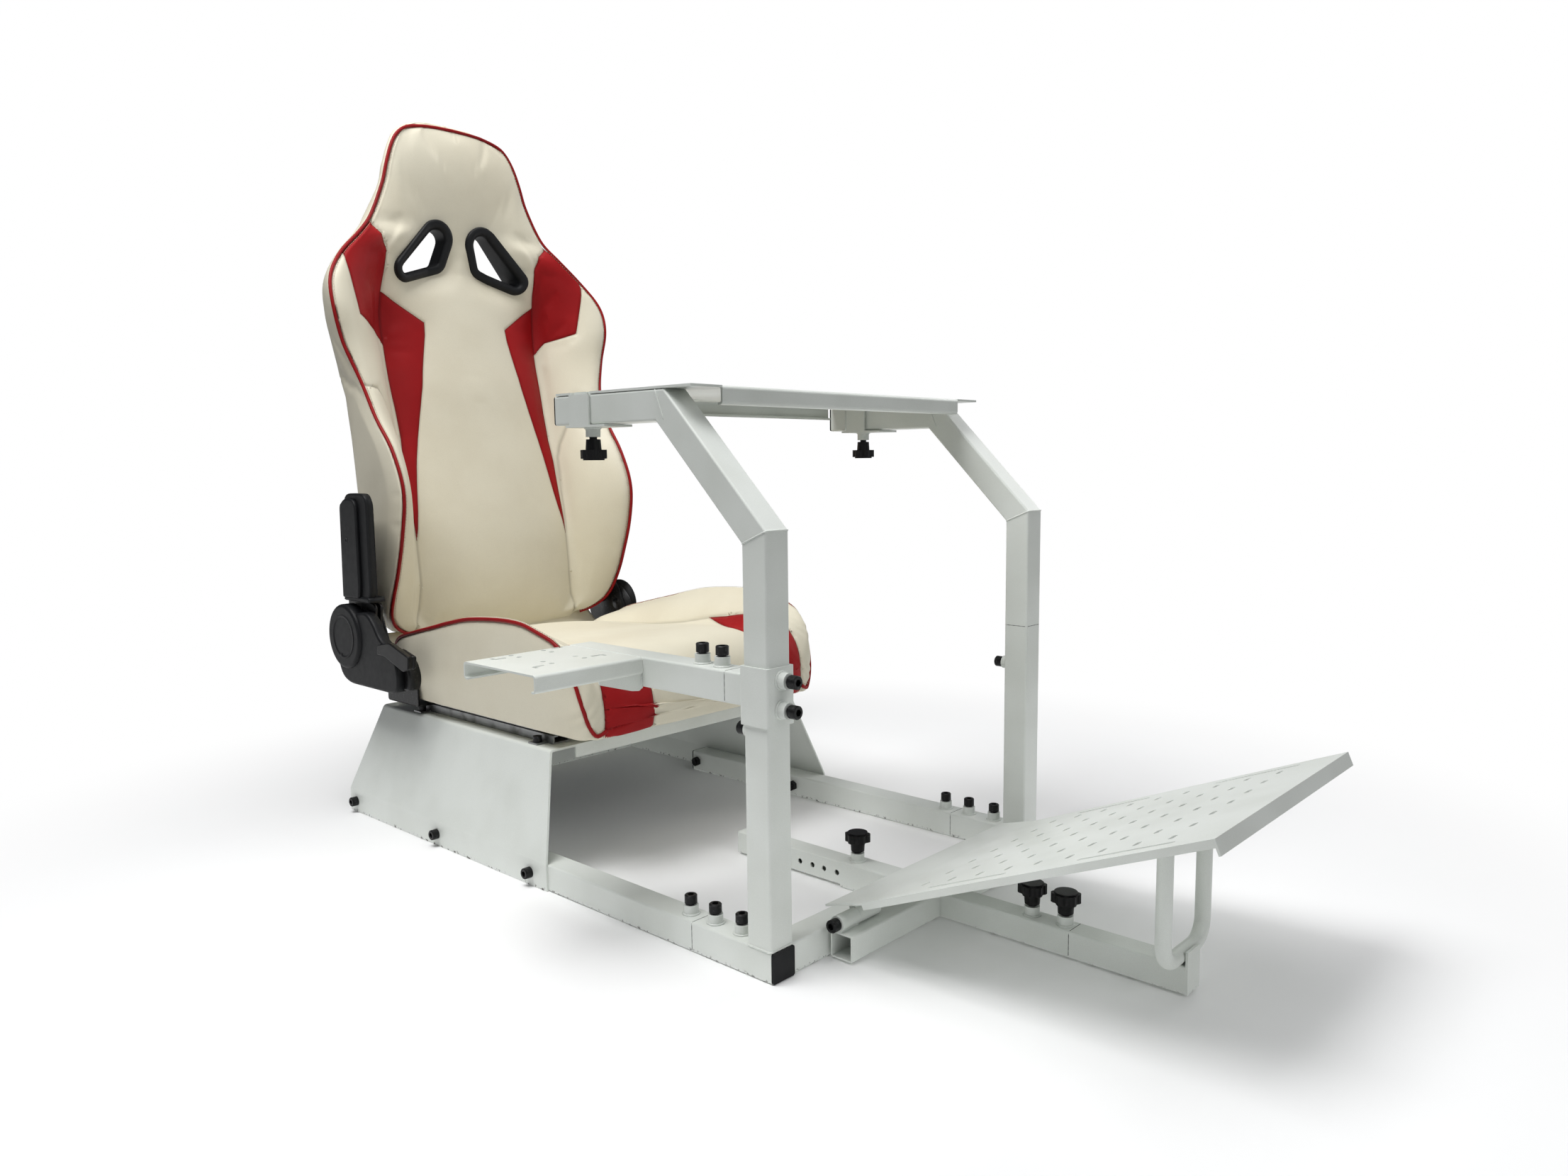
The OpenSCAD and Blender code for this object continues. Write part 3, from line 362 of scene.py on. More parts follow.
@dataclass(frozen=True)
class JointShadow:
    """Dark line where two tubes meet."""

    name: str = "joint_line"
    base: tuple[int, int, int] = (96, 98, 95)

    def material(self) -> bpy.types.Material:
        """Builds the joint line's material."""
        board = NodeBoard(self.name)
        tint = board.mix(board.noise(200.0), linear(*self.base), linear(58, 58, 56))
        normal = board.bump(board.noise(900.0), 0.2, 0.0003)
        rough = board.plus(0.6, board.noise(300.0), 0.2)
        return board.close(Base_Color=tint, Roughness=rough, Normal=normal)


@dataclass
class Finishes:
    """Every material of the cockpit, made once."""

    white: bpy.types.Material = field(init=False)
    cream: bpy.types.Material = field(init=False)
    red: bpy.types.Material = field(init=False)
    piping: bpy.types.Material = field(init=False)
    plastic: bpy.types.Material = field(init=False)
    knob: bpy.types.Material = field(init=False)
    screws: bpy.types.Material = field(init=False)
    zinc: bpy.types.Material = field(init=False)
    pale_thread: bpy.types.Material = field(init=False)
    joint: bpy.types.Material = field(init=False)

    def __post_init__(self) -> None:
        """Builds the materials."""
        self.white = PowderCoat().material()
        self.cream = Leather("cream_leather", (224, 218, 198), (218, 211, 190),
            (150, 143, 124)).material()
        self.red = Leather("red_leather", (160, 19, 23), (145, 15, 19), (62, 5, 8),
            roughness=0.46, grain=0.24, sheen=0.0, gloss=0.18).material()
        self.piping = Leather("piping_leather", (150, 18, 22), (134, 14, 19), (60, 5, 9),
            roughness=0.42, grain=0.2, sheen=0.0, gloss=0.2).material()
        self.plastic = MouldedPlastic().material()
        self.knob = MouldedPlastic("knob_plastic", (13, 13, 14), (20, 20, 21), 0.3, 0.12).material()
        self.screws = DarkSteel().material()
        self.zinc = ZincSteel().material()
        self.pale_thread = Thread("pale_thread", (206, 197, 172), (168, 158, 134)).material()
        self.joint = JointShadow().material()


def catmull(points: np.ndarray, steps: int) -> np.ndarray:
    """Adds points on a smooth curve between the rows of an array.

    Args:
        points: Array whose first axis runs along the curve.
        steps: Parts that each stretch is cut into.

    Returns:
        The longer array, with the given rows kept.
    """
    p = np.concatenate([points[:1], points, points[-1:]])
    a, b, c, d = (q[:, None] for q in (p[:-3], p[1:-2], p[2:-1], p[3:]))
    t = (np.arange(steps) / steps).reshape(1, steps, *([1] * (points.ndim - 1)))
    curve = 0.5 * (2 * b + (c - a) * t + (2 * a - 5 * b + 4 * c - d) * t**2
        + (3 * b - a - 3 * c + d) * t**3)
    return np.concatenate([curve.reshape(-1, *points.shape[1:]), points[-1:]])


def even_steps(points: np.ndarray, spacing: float) -> np.ndarray:
    """Places along a polyline that are evenly spaced.

    Args:
        points: Polyline, one point a row.
        spacing: Wanted distance between places.

    Returns:
        Fractional row numbers of the places, both ends included.
    """
    walk = np.concatenate([[0], np.cumsum(np.linalg.norm(np.diff(points, axis=0), axis=1))])
    count = max(2, int(round(walk[-1] / spacing)) + 1)
    return np.interp(np.linspace(0, walk[-1], count), walk, np.arange(len(points)))


def take(rows: np.ndarray, places: np.ndarray) -> np.ndarray:
    """Reads rows of an array at fractional row numbers, straight between them."""
    low = np.clip(np.floor(places).astype(int), 0, len(rows) - 2)
    share = (places - low).reshape(-1, *([1] * (rows.ndim - 1)))
    return rows[low] * (1 - share) + rows[low + 1] * share


def polyline_distance(points: np.ndarray, line: np.ndarray) -> tuple[np.ndarray, np.ndarray]:
    """Distance from points to a polyline.

    Args:
        points: Points, one a row, in two or three dimensions.
        line: Corners of the polyline.

    Returns:
        The distance of each point, and in two dimensions the signed one, which is
        negative on the right of the line.
    """
    best = np.full(len(points), 1e9)
    signed = np.full(len(points), 1e9)
    for a, b in zip(line[:-1], line[1:]):
        way = b - a
        length = float(way @ way)
        if length < 1e-14:
            continue
        rest = points - a
        share = np.clip(rest @ way / length, 0, 1)
        away = np.linalg.norm(rest - share[:, None] * way, axis=1)
        closer = away < best - 1e-9
        best[closer] = away[closer]
        if points.shape[1] == 2:
            turn = way[0] * rest[:, 1] - way[1] * rest[:, 0]
            signed[closer] = np.where(turn[closer] >= 0, away[closer], -away[closer])
    return best, signed


def inside_polygon(points: np.ndarray, corners: np.ndarray) -> np.ndarray:
    """Tells which plane points lie inside a closed polygon."""
    x, y = points[:, 0], points[:, 1]
    inside = np.zeros(len(points), bool)
    for (x0, y0), (x1, y1) in zip(corners, np.roll(corners, -1, axis=0)):
        crosses = (y0 > y) != (y1 > y)
        at = x0 + (y - y0) * (x1 - x0) / (y1 - y0 if y1 != y0 else 1e-12)
        inside ^= crosses & (x < at)
    return inside


def region_distance(points: np.ndarray, corners: np.ndarray) -> np.ndarray:
    """Distance to a closed polygon's outline, negative inside it."""
    away, _ = polyline_distance(points, np.vstack([corners, corners[:1]]))
    return np.where(inside_polygon(points, corners), -away, away)


def evened(line: np.ndarray, spacing: float, rounds: int) -> np.ndarray:
    """Spaces a line's points evenly and takes out its small bumps.

    Args:
        line: Points of the line.
        spacing: Wanted distance between points.
        rounds: How often each point moves to the middle of its neighbours.

    Returns:
        The smoother line, with the same ends.
    """
    line = take(line, even_steps(line, spacing))
    for _ in range(rounds):
        line[1:-1] = 0.5 * line[1:-1] + 0.25 * (line[:-2] + line[2:])
    return line


@dataclass
class Hide:
    """Triangle mesh of one upholstered piece, with facts carried at its points."""

    points: np.ndarray
    facts: np.ndarray
    faces: np.ndarray

    def normals(self) -> np.ndarray:
        """Unit normal at each point."""
        a, b, c = (self.points[self.faces[:, k]] for k in range(3))
        flat = np.cross(b - a, c - a)
        total = np.zeros_like(self.points)
        for k in range(3):
            np.add.at(total, self.faces[:, k], flat)
        return total / np.maximum(np.linalg.norm(total, axis=1), 1e-15)[:, None]

    def cut(self, value: np.ndarray, reach: float) -> None:
        """Splits triangles along the line where a value is zero.

        Args:
            value: The value at each point, in metres from the line.
            reach: Only edges whose ends lie this close to the line are split.
        """
        f = self.faces
        edges = np.sort(np.concatenate([f[:, [0, 1]], f[:, [1, 2]], f[:, [2, 0]]]), axis=1)
        unique, back = np.unique(edges, axis=0, return_inverse=True)
        back = back.reshape(3, -1).T
        va, vb = value[unique[:, 0]], value[unique[:, 1]]
        crossed = (va * vb < 0) & (np.abs(va) < reach) & (np.abs(vb) < reach)
        share = np.where(crossed, va / np.where(va == vb, 1, va - vb), 0.5)
        crossed &= (share > 0.02) & (share < 0.98)
        number = np.full(len(unique), -1)
        number[crossed] = len(self.points) + np.arange(crossed.sum())
        a, b, t = unique[crossed, 0], unique[crossed, 1], share[crossed][:, None]
        self.points = np.concatenate([self.points, self.points[a] * (1 - t) + self.points[b] * t])
        self.facts = np.concatenate([self.facts, self.facts[a] * (1 - t) + self.facts[b] * t])
        mids = number[back]
        count = (mids >= 0).sum(axis=1)
        made = [f[count == 0]]
        for k in range(3):
            i, j, o = k, (k + 1) % 3, (k + 2) % 3
            one = (count == 1) & (mids[:, k] >= 0)
            m = mids[one, k]
            made.append(np.stack([f[one, i], m, f[one, o]], 1))
            made.append(np.stack([m, f[one, j], f[one, o]], 1))
            two = (count == 2) & (mids[:, k] < 0)
            p, q = mids[two, j], mids[two, o]
            made.append(np.stack([f[two, o], q, p], 1))
            made.append(np.stack([q, f[two, i], p], 1))
            made.append(np.stack([f[two, i], f[two, j], p], 1))
        three = count == 3
        p, q, r = mids[three, 0], mids[three, 1], mids[three, 2]
        made += [np.stack([f[three, 0], p, r], 1), np.stack([p, f[three, 1], q], 1),
            np.stack([r, q, f[three, 2]], 1), np.stack([p, q, r], 1)]
        self.faces = np.concatenate(made)

    def turn_out(self) -> np.ndarray:
        """Turns the triangles to face outwards, and gives the unit normals."""
        normals = self.normals()
        if float((normals * (self.points - self.points.mean(0))).sum()) < 0:
            self.faces = self.faces[:, ::-1]
            normals = -normals
        return normals

    def drop(self, gone: np.ndarray) -> None:
        """Removes the triangles that a mask names, and the points that only they use."""
        self.faces = self.faces[~gone]
        used = np.zeros(len(self.points), bool)
        used[self.faces.ravel()] = True
        renumber = np.cumsum(used) - 1
        self.points, self.facts = self.points[used], self.facts[used]
        self.faces = renumber[self.faces]

    def middles(self) -> np.ndarray:
        """Facts at the middle of each triangle."""
        return self.facts[self.faces].mean(axis=1)

    def rim(self) -> list[np.ndarray]:
        """Open borders as loops of point numbers."""
        f = self.faces
        ways = np.concatenate([f[:, [0, 1]], f[:, [1, 2]], f[:, [2, 0]]])
        keys = {(int(a), int(b)) for a, b in ways}
        follow = {a: b for a, b in keys if (b, a) not in keys}
        loops = []
        while follow:
            start, step = follow.popitem()
            loop = [start]
            while step != start and step in follow:
                loop.append(step)
                step = follow.pop(step)
            loops.append(np.array(loop))
        return loops


def mesh_object(name: str, points: np.ndarray, faces: list, finishes: list[bpy.types.Material],
        pick: np.ndarray | None = None) -> bpy.types.Object:
    """Makes a smooth mesh object.

    Args:
        name: Name of the piece.
        points: Its points, one a row.
        faces: Its faces as tuples or rows of point numbers.
        finishes: Its materials.
        pick: Material number of each face, or None for the first.

    Returns:
        The object, linked to the scene.
    """
    mesh = bpy.data.meshes.new(name)
    mesh.from_pydata(np.asarray(points).tolist(), [], np.asarray(faces).tolist()
        if isinstance(faces, np.ndarray) else faces)
    for finish in finishes:
        mesh.materials.append(finish)
    if pick is not None:
        mesh.polygons.foreach_set("material_index", pick.astype(np.int32))
    mesh.shade_smooth()
    mesh.update()
    made = bpy.data.objects.new(name, mesh)
    bpy.context.scene.collection.objects.link(made)
    return made


class Sweep:
    """Collects tubes swept along lines into one mesh."""

    def __init__(self, sides: int = 8) -> None:
        """Starts an empty mesh of tubes with that many sides."""
        self.sides = sides
        self.points: list[np.ndarray] = []
        self.faces: list[tuple[int, ...]] = []
        self.count = 0

    def add(self, line: np.ndarray, radius: float | np.ndarray, closed: bool = False) -> None:
        """Adds one tube.

        Args:
            line: Its centre line, one point a row.
            radius: Its radius, or one radius for each point.
            closed: Whether the line is a loop.
        """
        line = np.asarray(line, float)
        count = len(line)
        if closed:
            way = np.roll(line, -1, 0) - np.roll(line, 1, 0)
        else:
            way = np.gradient(line, axis=0)
        way /= np.maximum(np.linalg.norm(way, axis=1), 1e-12)[:, None]
        up = np.zeros_like(line)
        first = np.array([0.0, 0, 1]) if abs(way[0][2]) < 0.9 else np.array([1.0, 0, 0])
        for i in range(count):
            first = first - way[i] * (first @ way[i])
            first = first / max(np.linalg.norm(first), 1e-12)
            up[i] = first
        across = np.cross(way, up)
        turn = np.linspace(0, 2 * math.pi, self.sides, endpoint=False)
        size = np.broadcast_to(np.asarray(radius, float), (count,))[:, None, None]
        ring = (across[:, None] * np.cos(turn)[None, :, None]
            + up[:, None] * np.sin(turn)[None, :, None])
        self.points.append((line[:, None] + ring * size).reshape(-1, 3))
        n, base = self.sides, self.count
        last = count if closed else count - 1
        for i in range(last):
            j = (i + 1) % count
            for k in range(n):
                m = (k + 1) % n
                self.faces.append((base + i * n + k, base + i * n + m, base + j * n + m,
                    base + j * n + k))
        if not closed:
            self.faces.append(tuple(base + k for k in reversed(range(n))))
            self.faces.append(tuple(base + last * n + k for k in range(n)))
        self.count += count * n

    def build(self, name: str, finish: bpy.types.Material) -> bpy.types.Object:
        """Makes the mesh object of all the tubes."""
        return mesh_object(name, np.concatenate(self.points), self.faces, [finish])


def inflate(name: str, grid: np.ndarray, pinned: np.ndarray, pressure: float,
        cap: float) -> np.ndarray:
    """Puffs a closed grid of points up as stuffed leather, by cloth simulation.

    Args:
        name: Name used for the short-lived object.
        grid: Points as rows of rings, closed across the second axis.
        pinned: Hold of each point, from 0, free, to 1, sewn down.
        pressure: Pressure inside.
        cap: Furthest that a point may move, in metres.

    Returns:
        The moved points, in the same layout.
    """
    last_frame = 20
    rings, count, _ = grid.shape
    number = np.arange(rings * count).reshape(rings, count)
    near, far = number[:-1], number[1:]
    quads = np.stack([near, np.roll(near, -1, 1), np.roll(far, -1, 1), far], -1).reshape(-1, 4)
    ends = [tuple(number[0][::-1].tolist()), tuple(number[-1].tolist())]
    made = mesh_object(name, grid.reshape(-1, 3), [tuple(q) for q in quads.tolist()] + ends, [])
    group = made.vertex_groups.new(name="sewn")
    for level in np.unique(np.round(pinned, 2)):
        rows = np.nonzero(np.round(pinned.ravel(), 2) == level)[0]
        group.add(rows.tolist(), float(level), "REPLACE")
    cloth = made.modifiers.new("cloth", "CLOTH")
    settings = cloth.settings
    settings.quality = 6
    settings.mass = 0.35
    settings.tension_stiffness = settings.compression_stiffness = 18.0
    settings.shear_stiffness = 8.0
    settings.bending_stiffness = 1.2
    settings.use_pressure = True
    settings.uniform_pressure_force = pressure
    settings.vertex_group_mass = "sewn"
    settings.pin_stiffness = 1.0
    settings.effector_weights.gravity = 0.0
    cloth.collision_settings.use_collision = False
    cloth.point_cache.frame_end = last_frame
    scene = bpy.context.scene
    for number_of_frame in range(1, last_frame + 1):
        scene.frame_set(number_of_frame)
    seen = made.evaluated_get(bpy.context.evaluated_depsgraph_get()).to_mesh()
    moved = np.zeros(rings * count * 3, np.float32)
    seen.vertices.foreach_get("co", moved)
    moved = moved.astype(float).reshape(rings, count, 3) - grid
    scene.frame_set(1)
    bpy.data.objects.remove(made)
    length = np.linalg.norm(moved, axis=2, keepdims=True)
    log.info("%s: cloth moved points by up to %.1f mm", name, length.max() / MM)
    return grid + moved * np.minimum(1, cap / np.maximum(length, 1e-9))


@dataclass
class Upholstery:
    """Base of a stuffed seat part whose form is a row of smooth mirrored rings.

    The stations run along one axis. The cloth simulation starts from a form that is
    shrunk a little, and a seam is measured at even levels along the stations.
    """

    finishes: Finishes
    axis: int = 2
    measured: tuple[float, float, int] = (300.0, 1226.5, 260)
    spacing: float = 9.0
    fine: int = 2
    cap: float = 5.0 * MM
    pressure: float = 4.0
    shrink: float = 1.5
    quick_puff: float = 3.0 * MM
    seam_reach: float = 9.0 * MM
    groove_steps: tuple[float, float] = (1.3 * MM, 3.6 * MM)
    broad_width: float = 16.0 * MM
    pipe_r: float = 2.9 * MM
    pipe_lift: float = 0.9 * MM
    pipe_step: float = 4.0 * MM
    thread_gap: float = 6.5 * MM
    thread_lift: float = -0.15 * MM
    pipe_arcs: np.ndarray = field(init=False)

    def stations(self) -> np.ndarray:
        """Stations of the form, in millimetres."""
        raise NotImplementedError

    def half_ring(self, station: np.ndarray) -> np.ndarray:
        """Half outline at a station, in millimetres."""
        raise NotImplementedError

    def seams(self, facts: np.ndarray) -> dict[str, np.ndarray]:
        """Signed distance of each point to each seam, large where the seam doesn't run."""
        raise NotImplementedError

    def pins(self, facts: np.ndarray) -> np.ndarray:
        """How far each point of the coarse form is sewn down, from 0 to 1."""
        raise NotImplementedError

    @property
    def levels(self) -> np.ndarray:
        """Even places along the stations, in metres."""
        first, last, count = self.measured
        return np.linspace(first, last, count) * MM

    def grid(self) -> tuple[np.ndarray, np.ndarray]:
        """Rings of evenly spaced points over the whole form.

        Returns:
            The points in metres, and the outline's control number of each column.
        """
        station_steps, outline_steps, ring_gap = 16, 12, 1.6
        stations = catmull(self.stations(), station_steps)
        rings = np.stack([catmull(self.half_ring(s), outline_steps) for s in stations])
        spine = np.concatenate([rings[:, 0], rings[:, rings.shape[1] // 2]], axis=1)
        rings = take(rings, even_steps(spine, self.spacing * ring_gap))
        typical = rings[len(rings) // 3]
        columns = even_steps(typical, self.spacing)
        half = np.stack([take(r, columns) for r in rings])
        control = columns / outline_steps
        other = half[:, -2:0:-1] * np.array([-1.0, 1, 1])
        return (np.concatenate([half, other], axis=1) * MM,
            np.concatenate([control, control[-2:0:-1]]))

    def arcs_of(self, facts: np.ndarray, control_at: Callable[[float], float]) -> np.ndarray:
        """Distances round the outline to a control number, one at each level.

        Args:
            facts: Facts of the coarse form.
            control_at: Gives the control number at a level.

        Returns:
            The distances in metres.
        """
        half = facts.shape[1] // 2 + 1
        inner = slice(CAP_RINGS, len(facts) - CAP_RINGS)
        places, arcs = facts[inner, 0, self.axis], facts[inner, :half, ARC]
        lines = take(arcs, np.interp(self.levels, places, np.arange(len(places))))
        controls = facts[CAP_RINGS, :half, CONTROL]
        return np.array([np.interp(control_at(level), controls, line)
            for level, line in zip(self.levels, lines)])

    def split(self, hide: Hide, names: tuple[str, ...]) -> None:
        """Splits the triangles along the named seams and beside them."""
        for name in names:
            hide.cut(self.seams(hide.facts)[name], self.seam_reach)
        for level in self.groove_steps:
            for name in names:
                hide.cut(np.abs(self.seams(hide.facts)[name]) - level, 5 * MM)

    def grooves(self, away: dict[str, np.ndarray], sewn: tuple) -> np.ndarray:
        """How deep the seams pull each point in.

        Args:
            away: Signed distance of each point to each seam.
            sewn: Name, depth, width and depth of the broad dip of each seam, in millimetres.

        Returns:
            The depth at each point, in metres.
        """
        sink = np.zeros(len(away["pipe"]))
        for name, depth, width, broad in sewn:
            sink = np.maximum(sink, groove(away[name], depth * MM, width * MM)
                + groove(away[name], broad * MM, self.broad_width))
        return sink

    @staticmethod
    def creases(away: dict[str, np.ndarray]) -> np.ndarray:
        """Nearness of each point to its nearest seam, 1 on it and 0 far off."""
        nearest = np.min([np.abs(v) for v in away.values()], axis=0)
        return np.exp(-((nearest / (1.7 * MM)) ** 2))

    def cover(self, name: str, hide: Hide, red: np.ndarray, crease: np.ndarray) \
            -> bpy.types.Object:
        """Makes the leather cover.

        Args:
            name: Name of the piece.
            hide: Its mesh.
            red: Whether each triangle is red.
            crease: Nearness of each point to a seam, which darkens the leather there with painted
                shade and some dirt.

        Returns:
            The cover.
        """
        made = mesh_object(name, hide.points, hide.faces,
            [self.finishes.cream, self.finishes.red], red.astype(int))
        mark = made.data.attributes.new("seam", "FLOAT", "POINT")
        mark.data.foreach_set("value", crease.astype(np.float32))
        log.info("%s: %d triangles", name, len(hide.faces))
        return made

    @staticmethod
    def close_ends(grid: np.ndarray, lean: float) -> np.ndarray:
        """Adds shrinking rings at both ends so that they close softly."""
        caps = []
        for end, nextdoor in ((0, 1), (-1, -2)):
            ring, middle = grid[end], grid[end].mean(0)
            out = (grid[end] - grid[nextdoor]).mean(0)
            out /= max(np.linalg.norm(out), 1e-9)
            caps.append([middle + (ring - middle) * s + out * lean * (1 - s * s)
                for s in CAP_SHARES])
        return np.concatenate([np.array(caps[0][::-1]), grid, np.array(caps[1])])


def refine(grid: np.ndarray, steps: int) -> np.ndarray:
    """Adds smooth rows and columns to a grid that is closed across its second axis."""
    tall = catmull(grid, steps)
    wide = np.concatenate([tall[:, -2:], tall, tall[:, :3]], axis=1)
    wide = catmull(wide.swapaxes(0, 1), steps).swapaxes(0, 1)
    return wide[:, 2 * steps:2 * steps + grid.shape[1] * steps]


def hide_from_grid(grid: np.ndarray, facts: np.ndarray) -> Hide:
    """Turns a grid of rings, closed across its second axis, into a triangle mesh."""
    rings, count, _ = grid.shape
    number = np.arange(rings * count).reshape(rings, count)
    a, b = number[:-1], np.roll(number[:-1], -1, 1)
    d, c = number[1:], np.roll(number[1:], -1, 1)
    flat = grid.reshape(-1, 3)
    a, b, c, d = (q.ravel() for q in (a, b, c, d))
    short = np.linalg.norm(flat[a] - flat[c], axis=1) < np.linalg.norm(flat[b] - flat[d], axis=1)
    first = np.where(short[:, None], np.stack([a, b, c], 1), np.stack([a, b, d], 1))
    second = np.where(short[:, None], np.stack([a, c, d], 1), np.stack([b, c, d], 1))
    ends = [(int(number[0][0]), int(number[0][(k + 1) % count]), int(number[0][k]))
        for k in range(1, count - 1)]
    ends += [(int(number[-1][0]), int(number[-1][k]), int(number[-1][(k + 1) % count]))
        for k in range(1, count - 1)]
    faces = np.concatenate([first, second, np.array(ends)])
    return Hide(flat.copy(), facts.reshape(rings * count, -1).copy(), faces)


@dataclass
class SeatShell:
    """A stuffed form while it is dressed: its fine grid, its facts and its mesh."""

    grid: np.ndarray
    facts: np.ndarray
    axis: int
    half: int
    fine: int
    hide: Hide = field(init=False)

    def __post_init__(self) -> None:
        """Builds the triangle mesh of the grid."""
        self.hide = hide_from_grid(self.grid, self.facts)

    def row_of(self, value: float) -> float:
        """Fractional ring number at a station value, ends left out."""
        inner = slice(CAP_RINGS * self.fine, len(self.grid) - CAP_RINGS * self.fine)
        numbers = np.arange(len(self.grid))[inner]
        return float(np.interp(value, self.facts[inner, 0, self.axis], numbers))

    def arcs_at(self, value: float) -> np.ndarray:
        """Distances round the half outline at a station value."""
        return take(self.facts[:, :self.half, ARC], np.array([self.row_of(value)]))[0]

    def arc_of_control(self, value: float, control: float) -> float:
        """Distance round the outline to one of its control numbers."""
        controls = self.facts[0, :self.half, CONTROL]
        return float(np.interp(control, controls, self.arcs_at(value)))

    def point(self, value: float, arc: float, side: Side, lift: float = 0.0) -> np.ndarray:
        """Point of the surface.

        Args:
            value: Station value.
            arc: Distance round the half outline from its middle.
            side: Side of the cockpit.
            lift: Height above the surface.

        Returns:
            The point in metres.
        """
        row = self.row_of(value)
        column = float(np.interp(arc, self.arcs_at(value), np.arange(self.half)))
        count, near = self.grid.shape[1], 0.7

        def at(r: float, c: float) -> np.ndarray:
            """Reads the grid on the left half between its points."""
            ring = take(self.grid, np.array([r]))[0]
            low = int(math.floor(c))
            return ring[low % count] * (1 - c + low) + ring[(low + 1) % count] * (c - low)

        spot = at(row, column)
        if lift:
            around = at(row, column + near) - at(row, column - near)
            along = at(min(row + near, len(self.grid) - 1), column) \
                - at(max(row - near, 0), column)
            normal = np.cross(around, along)
            spot = spot + normal / np.linalg.norm(normal) * lift * self.turn
        return spot * np.array([side.value, 1, 1])

    @property
    def turn(self) -> float:
        """Sign that makes the grid's normal point outwards on the left side."""
        return 1.0 if self.axis == 2 else -1.0


def groove(away: np.ndarray, depth: float, width: float) -> np.ndarray:
    """Depth of a sewn groove at a distance from its seam."""
    return depth * np.exp(-((away / width) ** 2))


def shell_of(part: Upholstery) -> SeatShell:
    """Builds the puffed and refined form of a seat part.

    Args:
        part: The seat part.

    Returns:
        The form, ready to be cut into panels.
    """
    grid, control = part.grid()
    half = grid.shape[1] // 2 + 1
    capped = part.close_ends(grid, 5 * MM)
    steps = np.linalg.norm(np.diff(capped[:, :half], axis=1), axis=2)
    arcs = np.concatenate([np.zeros((len(capped), 1)), np.cumsum(steps, axis=1)], axis=1)
    arcs = np.concatenate([arcs, arcs[:, -2:0:-1]], axis=1)
    controls = np.broadcast_to(control, capped.shape[:2])
    facts = np.dstack([capped, controls, arcs])
    base = hide_from_grid(capped, facts)
    normals = base.normals().reshape(capped.shape)
    if float((normals * (capped - capped.mean((0, 1)))).sum()) < 0:
        normals = -normals
    pins = part.pins(facts)
    slim = capped - normals * part.shrink * MM
    puffed = inflate(type(part).__name__.lower(), slim, pins, part.pressure, part.cap)
    return SeatShell(refine(puffed, part.fine), refine(facts, part.fine), part.axis,
        (half - 1) * part.fine + 1, part.fine)


